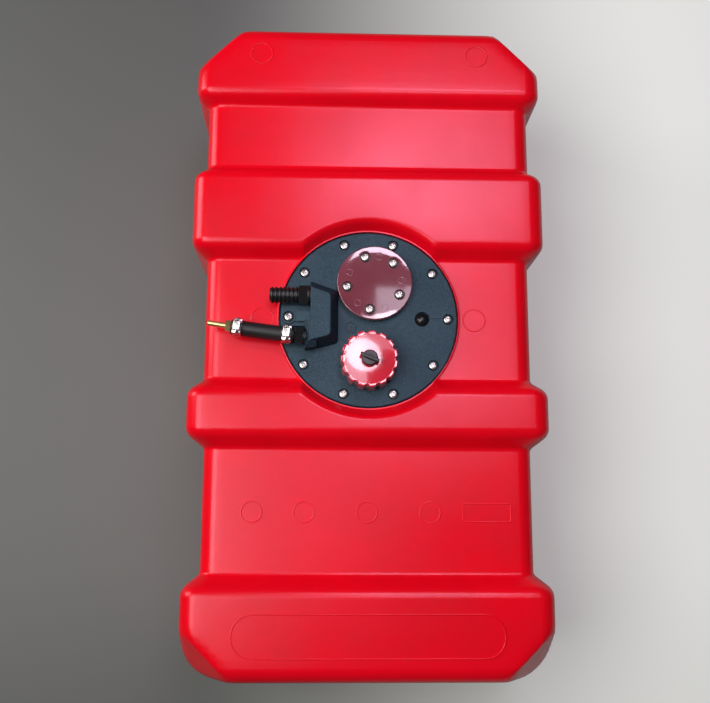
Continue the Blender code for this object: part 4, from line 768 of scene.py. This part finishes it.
def makeScrews():
    head, rise = screw["head"], screw["headHeight"]
    crown = [(head, rise * 0.42)] + arcPoints((head - 0.0013, rise * 0.5), 0.0013, 0, 62, 5)
    crown += [(head * 0.45, rise * 0.985), (0, rise)]
    shank, long = screw["shank"], screw["long"]
    outline = [(0, -long), (shank * 0.25, -long), (shank, screw["point"] - long),
               (shank, 0), (head, 0)] + crown
    template = turnOnAxis("screwTemplate", outline, screw["steps"])
    for turn in (0, 90):
        wing = softBlock("recessTool", (screw["wing"], screw["wingWidth"], screw["recess"]),
                         0.0002, (0, 0, rise + 0.0002), 1)
        for vertex in wing.data.vertices:
            if vertex.co.z < rise:
                vertex.co.x *= 0.62
        wing.rotation_euler = (0, 0, math.radians(turn))
        settle(wing)
        joinOrCut(template, wing, "DIFFERENCE")
    for number, name in enumerate(screwNames):
        low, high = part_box(name)
        piece = bpy.data.objects.new(name + "_head", template.data.copy())
        bpy.context.scene.collection.objects.link(piece)
        length = high.z - low.z - rise
        for vertex in piece.data.vertices:
            if vertex.co.z < -0.002:
                vertex.co.z += long - length
        piece.location = ((low.x + high.x) / 2, (low.y + high.y) / 2, high.z - rise)
        piece.rotation_euler = (0, 0, 0.5 + 1.9 * number)
        settle(piece)
        finish(piece, "screwSteel", stands=[name], angle=32)
    bpy.data.objects.remove(template)
    print("screws:", len(screwNames))


makeScrews()

# filler cap: fifteen scallops down its side and a shallow dished top
cap = {"radius": 0.02725, "flare": 0.0012, "edge": 0.0013, "count": 15, "notch": 0.0026,
       "reach": 0.0022, "bore": 0.0232, "dish": 0.0009, "steps": 240, "firstNotch": 0.5, "soft": 0.00022,
       "threadPitch": 0.0033, "threadDepth": 0.0009}


def scallopDrop(angle):
    # how far the side of the cap stands back at this angle
    pitch = math.tau / cap["count"]
    turn = (angle - math.radians(cap["firstNotch"]) + pitch / 2) % pitch - pitch / 2
    circle = cap["radius"] + cap["notch"] - cap["reach"]
    aside = circle * math.sin(turn)
    if abs(aside) > cap["notch"] * 0.985:
        return 0.0
    wall = circle * math.cos(turn) - math.sqrt(cap["notch"] ** 2 - aside ** 2)
    drop = cap["radius"] - wall
    soft = cap["soft"]
    return max(0.0, (drop + math.hypot(drop, soft) - soft) / 2)


def makeCap():
    low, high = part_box("filler_cap")
    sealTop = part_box("cap_gasket")[1].z
    ceiling = sealTop + 0.0003 - low.z
    top = high.z - low.z
    dishFloor = top - cap["dish"]
    bore = cap["bore"]
    edge = cap["edge"]
    inside = [(0.0069, dishFloor - 0.0011), (0.0042, dishFloor - 0.0011), (0.0042, ceiling),
              (bore - 0.0004, ceiling), (bore, ceiling - 0.0004)]
    height = ceiling - 0.0030
    while height > 0.0040:
        inside += [(bore, height + 0.0009), (bore - cap["threadDepth"], height + 0.0002),
                   (bore - cap["threadDepth"], height - 0.0002), (bore, height - 0.0009)]
        height -= cap["threadPitch"]
    inside += [(bore, 0.0006), (bore + 0.0006, 0)]
    outside = [(cap["radius"] - 0.0005, 0), (cap["radius"], 0.0005)]
    outside += [(cap["radius"], top * share) for share in (0.25, 0.5, 0.75)]
    outside += arcPoints((cap["radius"] - edge, top - edge), edge, 0, 90, 6)
    dish = []
    for step in range(1, 15):
        radius = 0.0253 + (0.0072 - 0.0253) * step / 14
        share = (radius - 0.0072) / (0.0253 - 0.0072)
        dish.append((radius, top - cap["dish"] * (1 - share ** 1.7)))
    piece = turnOnAxis("filler_cap_form", inside + outside + dish, cap["steps"], closed=True)
    for vertex in piece.data.vertices:
        radius = math.hypot(vertex.co.x, vertex.co.y)
        if radius > 0.0255:
            flare = cap["flare"] * max(0.0, 1 - vertex.co.z / (top - edge))
            share = (radius + flare - scallopDrop(math.atan2(vertex.co.y, vertex.co.x))) / radius
            vertex.co.x *= share
            vertex.co.y *= share
        elif radius > 0.0246 and vertex.co.z > top / 2:
            share = (radius - 0.35 * scallopDrop(math.atan2(vertex.co.y, vertex.co.x))) / radius
            vertex.co.x *= share
            vertex.co.y *= share
    piece.location = (*filler["centre"], low.z)
    settle(piece)
    finish(piece, "capRed", "cap", ["filler_cap"], 42)


def makeNeck():
    low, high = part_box("filler_neck")
    tall = high.z - low.z
    outline = [(0.0172, 0), (0.0206, 0), (0.0206, tall - 0.0125)]
    height = tall - 0.0115
    while height < tall - 0.002:
        outline += [(0.0206, height - 0.0008), (0.0216, height - 0.0002),
                    (0.0216, height + 0.0002), (0.0206, height + 0.0008)]
        height += cap["threadPitch"]
    outline += [(0.0206, tall - 0.0006), (0.0200, tall), (0.0178, tall), (0.0172, tall - 0.0006)]
    piece = turnOnAxis("filler_neck_form", outline, 96, (*filler["centre"], low.z), closed=True)
    finish(piece, "flangeBlack", "tank", ["filler_neck"], 40)


makeCap()
makeNeck()

# vent knob on the cap: a round head with a grip bar across it
knob = {"radius": 0.0075, "barHalf": (0.0095, 0.0019, 0.0016), "barTurn": -23.0,
        "stem": 0.0018, "groove": (0.0052, 0.00035, 0.0006)}


def makeKnob():
    low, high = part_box("vent_knob")
    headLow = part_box("vent_o_ring")[1].z + 0.0003
    barTop = high.z
    headTop = barTop - 0.0022
    outline = [(0, low.z), (knob["stem"] - 0.0004, low.z), (knob["stem"], low.z + 0.0004),
               (knob["stem"], headLow), (knob["radius"] - 0.0003, headLow),
               (knob["radius"], headLow + 0.0003)]
    outline += arcPoints((knob["radius"] - 0.0012, headTop - 0.0012), 0.0012, 0, 90, 6)
    outline += [(knob["radius"] * 0.5, headTop - 0.0003), (0, headTop - 0.0004)]
    piece = turnOnAxis("vent_knob_form", outline, 96)
    half = knob["barHalf"]
    bar = softBlock("gripBar", half, 0.0009, (0, 0, barTop - half[2]), 4)
    bar.rotation_euler = (0, 0, math.radians(knob["barTurn"]))
    settle(bar)
    joinOrCut(piece, bar, "UNION")
    groove = softBlock("grooveTool", knob["groove"], 0.0001, (0, 0, barTop), 1)
    groove.rotation_euler = (0, 0, math.radians(knob["barTurn"]))
    settle(groove)
    joinOrCut(piece, groove, "DIFFERENCE")
    piece.location = (*filler["centre"], 0)
    settle(piece)
    finish(piece, "fittingBlack", "vent", ["vent_knob"], 40)


makeKnob()

# sender port cover: a glossy disc with five sunk screws and shallow round marks between them
cover = {"radius": 0.0367, "edge": 0.0009, "screwCircle": 0.027,
         "angles": (110, 47, -26, -100, -171), "sink": 0.0051, "sinkDepth": 0.0014, "hole": 0.0022, "markCircle": 0.0263,
         "markAngles": (80.6, 5.3, -67.4, -129.0, 157.5), "markRadius": 0.0033,
         "dimple": 0.0026, "dimpleDepth": 0.00025, "dot": (0.0118, 0.0222)}


def makeCover():
    low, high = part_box("sender_cover")
    top = high.z
    x, y = sender["centre"]
    edge = cover["edge"]
    outline = [(0, low.z), (cover["radius"] - 0.0004, low.z), (cover["radius"], low.z + 0.0004)]
    outline += arcPoints((cover["radius"] - edge, top - edge), edge, 0, 90, 8)
    outline += [(0.0285, top - 0.00006), (0.020, top - 0.00004), (0.010, top), (0, top)]
    piece = turnOnAxis("sender_cover_form", outline, 128, (x, y, 0))
    for angle in cover["angles"]:
        spot = (x + cover["screwCircle"] * math.cos(math.radians(angle)),
                y + cover["screwCircle"] * math.sin(math.radians(angle)), 0)
        bearing = top - cover["sinkDepth"]
        hole = turnOnAxis("coverHole", [(0, low.z - 0.001), (cover["hole"], low.z - 0.001),
                                        (cover["hole"], bearing), (cover["sink"], bearing),
                                        (cover["sink"], top - 0.0004),
                                        (cover["sink"] + 0.0006, top + 0.0004),
                                        (0, top + 0.0004)],
                          40, spot)
        joinOrCut(piece, hole, "DIFFERENCE")
    for angle in cover["markAngles"]:
        spot = (x + cover["markCircle"] * math.cos(math.radians(angle)),
                y + cover["markCircle"] * math.sin(math.radians(angle)), 0)
        floor = top - cover["dimpleDepth"]
        dimple = turnOnAxis("dimpleTool", [(0, floor), (cover["dimple"] - 0.0002, floor),
                                           (cover["dimple"], top + 0.001), (0, top + 0.001)],
                            32, spot)
        joinOrCut(piece, dimple, "DIFFERENCE")
    dotX, dotY = cover["dot"]
    dot = turnOnAxis("dotTool", [(0, top - 0.0008), (0.0006, top - 0.0008),
                                 (0.0006, top + 0.001), (0, top + 0.001)],
                     16, (x + dotX, y + dotY, 0))
    joinOrCut(piece, dot, "DIFFERENCE")
    finish(piece, "coverRed", stands=["sender_cover"], angle=38)
    # painted shade: the faces down in each screw's sink take the black finish, so the recesses look dark
    piece.data.materials.append(bpy.data.materials["fittingBlack"])
    for face in piece.data.polygons:
        middle = face.center - Vector((x, y, 0))
        for angle in cover["angles"]:
            aside = math.hypot(middle.x - cover["screwCircle"] * math.cos(math.radians(angle)),
                               middle.y - cover["screwCircle"] * math.sin(math.radians(angle)))
            if aside < cover["sink"] + 0.0001 and middle.z < top - 0.0005:
                face.material_index = 1
    for number, angle in enumerate(cover["markAngles"], 1):
        ringMark(f"cover_mark_{number}", (x + cover["markCircle"] * math.cos(math.radians(angle)),
                                          y + cover["markCircle"] * math.sin(math.radians(angle)),
                                          top - 0.00005), cover["markRadius"], "coverRed",
                 0.0004, 0.00018)


makeCover()

# round date mark and a fine ridge on the flange
flangeMarks = {"date": (-0.0174, 0.010), "dateRadius": 0.0056, "slash": (0.0005, 0.0048, 0.0004),
               "slashTurn": -12.0, "ridge": (0.0655, 0.0198), "ridgeHalf": (0.0055, 0.0003, 0.0004)}
dateX, dateY = flangeMarks["date"]
ringMark("date_ring", (dateX, dateY, flange["top"]), flangeMarks["dateRadius"], "flangeBlack",
         0.0008, 0.0005)
slash = softBlock("date_slash", flangeMarks["slash"], 0.0002, (0, 0, 0), 1)
slash.rotation_euler = (0, 0, math.radians(flangeMarks["slashTurn"]))
slash.location = (dateX, dateY, flange["top"] + 0.0001)
settle(slash)
finish(slash, "fittingBlack")
ridge = softBlock("flange_ridge", flangeMarks["ridgeHalf"], 0.0002,
                  (*flangeMarks["ridge"], flange["top"]), 1)
finish(ridge, "flangeBlack")
print("cap, knob, cover and flange marks")

# blank port's plug: a domed head sunk in its recess
plug = {"head": 0.0066, "stem": 0.0046, "headHeight": 0.0016, "sunk": 0.0038,
        "domeRadius": 0.0074, "domeDrop": 0.0030}


def makePlug():
    low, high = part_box("port_plug")
    seat = high.z - plug["sunk"]
    crest = arcPoints((0, seat - plug["domeDrop"]), plug["domeRadius"], 45, 90, 8)
    outline = [(0, low.z), (plug["stem"], low.z), (plug["stem"], seat), (plug["head"], seat),
               (plug["head"], seat + plug["headHeight"] - 0.0004),
               (plug["head"] - 0.0004, seat + plug["headHeight"])] + crest
    piece = turnOnAxis("port_plug_form", outline, 64,
                       ((low.x + high.x) / 2, (low.y + high.y) / 2, 0))
    finish(piece, "fittingBlack", stands=["port_plug"], angle=40)


makePlug()

# vent hose tail: collar, hexagon and rounded ribs
axisHeight = 0.2310
tail = {"y": 0.0389, "collar": 0.0098, "collarLength": 0.0018,
        "hexFlats": 0.0173, "hexLength": 0.0085, "core": 0.0070, "rib": 0.0081, "ribs": 7,
        "pitch": 0.0039, "bore": 0.0045, "shank": 0.0060, "shankLength": 0.0070}


def roundedCollar(name, radius, low, high):
    edge = (high - low) * 0.4
    return turnOnAxis(name, [(0, low)] + arcPoints((radius - edge, low + edge), edge, -90, 0, 4)
                      + arcPoints((radius - edge, high - edge), edge, 0, 90, 4) + [(0, high)], 64)


def makeVentTail():
    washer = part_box("vent_tail_washer")[0].x
    seat = 0.0003
    begin = tail["collarLength"] + seat
    hexEnd = begin + tail["hexLength"]
    piece = roundedCollar("vent_hose_tail_form", tail["collar"], seat, begin + 0.0001)
    joinOrCut(piece, hexBar("tailHex", tail["hexFlats"], begin - 0.0003, hexEnd, 0.0012), "UNION")
    outline = [(0, -tail["shankLength"]), (tail["shank"] - 0.0005, -tail["shankLength"]),
               (tail["shank"], 0.0005 - tail["shankLength"]), (tail["shank"], hexEnd - 0.001),
               (tail["core"], hexEnd - 0.001), (tail["core"], hexEnd)]
    reach = hexEnd
    for number in range(tail["ribs"]):
        middle = hexEnd + tail["pitch"] * (number + 0.55)
        half = tail["pitch"] * 0.34
        outline += [(tail["core"], middle - half), (tail["rib"] - 0.0004, middle - half * 0.72),
                    (tail["rib"], middle - half * 0.3), (tail["rib"], middle + half * 0.3),
                    (tail["rib"] - 0.0004, middle + half * 0.72), (tail["core"], middle + half)]
        reach = middle + half
    outline += [(tail["core"], reach + 0.0004), (tail["core"] - 0.0006, reach + 0.0010),
                (0, reach + 0.0010)]
    joinOrCut(piece, turnOnAxis("tailRibs", outline, 64), "UNION")
    bore = turnOnAxis("tailBore", [(0, -0.02), (tail["bore"], -0.02), (tail["bore"], 0.06),
                                   (0, 0.06)], 40)
    joinOrCut(piece, bore, "DIFFERENCE")
    layAlong(piece, (washer, tail["y"], axisHeight), 0.0)
    finish(piece, "fittingBlack", stands=["vent_hose_tail"], angle=40)


makeVentTail()

# fuel outlet fitting, its hose with two screw clamps, and the brass nipple
line = {"turn": math.radians(6.0), "bend": math.radians(3.0), "length": 0.0605, "radius": 0.0075,
        "bore": 0.0045, "standOff": 0.0012, "hexFlats": 0.0150, "hexLength": 0.0075,
        "collar": 0.0080, "collarLength": 0.0010, "barbRadius": 0.0034, "barbLength": 0.0210,
        "clampWidth": 0.0088, "clampThickness": 0.0008, "clampPlaces": (0.0068, 0.0543),
        "clampGap": 0.0003, "seat": 0.0008}


def outletPoint():
    # middle of the washer's outer face, where the fitting starts
    low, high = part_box("outlet_fitting_washer")
    return Vector(((low.x + high.x) / 2, (low.y + high.y) / 2, axisHeight))


def hoseFrame(distance):
    heading, bend = line["turn"], line["length"] / line["bend"]
    away = Vector((-math.cos(heading), math.sin(heading), 0))
    start = outletPoint() + away * (line["seat"] + line["collarLength"] + line["hexLength"]
                                    + line["standOff"])
    turned = heading + distance / bend
    point = start + Vector((-bend * (math.sin(turned) - math.sin(heading)),
                            bend * (math.cos(heading) - math.cos(turned)), 0))
    return point, turned


def makeOutletFitting():
    begin = line["seat"]
    collarEnd = begin + line["collarLength"]
    hexEnd = collarEnd + line["hexLength"]
    piece = roundedCollar("fuel_outlet_fitting_form", line["collar"], begin, collarEnd + 0.0001)
    joinOrCut(piece, hexBar("outletHex", line["hexFlats"], collarEnd - 0.0002, hexEnd, 0.0010),
              "UNION")
    core = line["barbRadius"]
    outline = [(0, -0.0070), (0.0043, -0.0070), (0.0048, -0.0065), (0.0048, hexEnd - 0.001),
               (core, hexEnd - 0.001)]
    for number in range(4):
        foot = hexEnd + 0.0012 + line["barbLength"] / 4 * number
        outline += [(core, foot), (core + 0.0008, foot + 0.0012),
                    (core, foot + line["barbLength"] / 4 - 0.0004)]
    outline += [(core - 0.0004, hexEnd + line["barbLength"]), (0, hexEnd + line["barbLength"])]
    joinOrCut(piece, turnOnAxis("outletBarbs", outline, 48), "UNION")
    bore = turnOnAxis("outletBore", [(0, -0.02), (0.0020, -0.02), (0.0020, 0.05), (0, 0.05)], 32)
    joinOrCut(piece, bore, "DIFFERENCE")
    layAlong(piece, outletPoint(), line["turn"])
    finish(piece, "fittingBlack", stands=["fuel_outlet_fitting"], angle=40)


def makeHose():
    length, radius, bore = line["length"], line["radius"], line["bore"]
    outline = [(bore, length * step / 24) for step in range(25)][::-1]
    outline += [(radius - 0.0004, 0), (radius, 0.0004)]
    outline += [(radius, length * step / 24) for step in range(1, 24)]
    outline += [(radius, length - 0.0004), (radius - 0.0004, length)]
    piece = turnOnAxis("fuel_hose_form", outline, 48, closed=True)
    for vertex in piece.data.vertices:
        point, heading = hoseFrame(vertex.co.z)
        aside = Vector((math.sin(heading), math.cos(heading), 0))
        vertex.co = point + Vector((0, 0, 1)) * vertex.co.x + aside * vertex.co.y
    startEdit(piece)
    bpy.ops.mesh.select_all(action="SELECT")
    bpy.ops.mesh.normals_make_consistent(inside=False)
    endEdit()
    finish(piece, "rubberBlack", stands=["fuel_hose"], angle=50)


def makeClamp(number):
    point, heading = hoseFrame(line["clampPlaces"][number - 1])
    inner = line["radius"] + line["clampGap"]
    outer, half = inner + line["clampThickness"], line["clampWidth"] / 2
    piece = turnOnAxis(f"hose_clamp_{number}_form", [
        (inner, -half), (outer - 0.0002, -half), (outer, 0.0003 - half), (outer, half - 0.0003),
        (outer - 0.0002, half), (inner, half)], 64, closed=True)
    for step in range(-6, 7):
        if abs(step) < 3:
            continue
        angle = math.radians(17 * step)
        cut = softBlock("slotTool", (0.0009, 0.00045, half * 0.62), 0.0001, (0, 0, 0), 1)
        cut.rotation_euler = (math.radians(9), 0, 0)
        settle(cut)
        cut.location = (outer * math.cos(angle), outer * math.sin(angle), 0)
        cut.rotation_euler = (0, 0, angle)
        settle(cut)
        joinOrCut(piece, cut, "DIFFERENCE")
    saddle = softBlock("clampSaddle", (0.0010, 0.0068, half * 0.94), 0.0004,
                       (outer + 0.0002, 0, 0), 2)
    joinOrCut(piece, saddle, "UNION")
    worm = softBlock("clampWorm", (0.0023, 0.0050, half * 0.86), 0.0014,
                     (outer + 0.0023, 0, 0), 5)
    joinOrCut(piece, worm, "UNION")
    hole = turnOnAxis("wormHole", [(0, -0.01), (0.0018, -0.01), (0.0018, 0.01), (0, 0.01)], 32)
    hole.rotation_euler = (math.radians(90), 0, 0)
    hole.location = (outer + 0.0023, 0, 0)
    settle(hole)
    joinOrCut(piece, hole, "DIFFERENCE")
    layAlong(piece, point, heading)
    finish(piece, "clampSteel", stands=[f"hose_clamp_{number}"], angle=35)


def makeClampScrew(number):
    point, heading = hoseFrame(line["clampPlaces"][number - 1])
    outer = line["radius"] + line["clampGap"] + line["clampThickness"]
    bearing = 0.0053
    piece = hexBar(f"clamp_screw_{number}_form", 0.0049, bearing, bearing + 0.0024, 0.0005)
    shank = [(0, bearing - 0.0135)]
    for step in range(12):
        height = bearing - 0.0133 + 0.0011 * step
        shank += [(0.0011, height), (0.0015, height + 0.0005)]
    joinOrCut(piece, turnOnAxis("clampThread", shank + [(0.0012, bearing + 0.001),
                                                        (0, bearing + 0.001)], 24), "UNION")
    slot = softBlock("screwSlot", (0.005, 0.0004, 0.0010), 0.0001, (0, 0, bearing + 0.0024), 1)
    joinOrCut(piece, slot, "DIFFERENCE")
    piece.rotation_euler = (math.radians(90), 0, 0)
    piece.location = (outer + 0.0023, 0, 0)
    settle(piece)
    layAlong(piece, point, heading)
    finish(piece, "clampSteel", stands=[f"clamp_screw_{number}"], angle=35)


def makeNipple():
    point, heading = hoseFrame(line["length"])
    begin, flats = 0.0006, 0.0100
    hexEnd = begin + 0.0050
    piece = hexBar("brass_nipple_form", flats, begin, hexEnd, 0.0007)
    outline = [(0, -0.0160), (0.0032, -0.0160)]
    for number in range(3):
        foot = -0.0158 + 0.0050 * number
        outline += [(0.0034, foot), (0.0042, foot + 0.0016), (0.0034, foot + 0.0046)]
    tip = hexEnd + 0.0176
    outline += [(0.0034, hexEnd - 0.001), (0.0028, hexEnd - 0.001), (0.0028, tip - 0.0004),
                (0.0024, tip), (0, tip)]
    joinOrCut(piece, turnOnAxis("nippleBody", outline, 48), "UNION")
    bore = turnOnAxis("nippleBore", [(0, -0.02), (0.0015, -0.02), (0.0015, 0.05), (0, 0.05)], 32)
    joinOrCut(piece, bore, "DIFFERENCE")
    layAlong(piece, point, heading)
    finish(piece, "brass", stands=["brass_nipple"], angle=35)


makeOutletFitting()
makeHose()
for number in (1, 2):
    makeClamp(number)
    makeClampScrew(number)
makeNipple()
print("fittings, hose and clamps")

bpy.context.scene.view_settings.view_transform = "Standard"
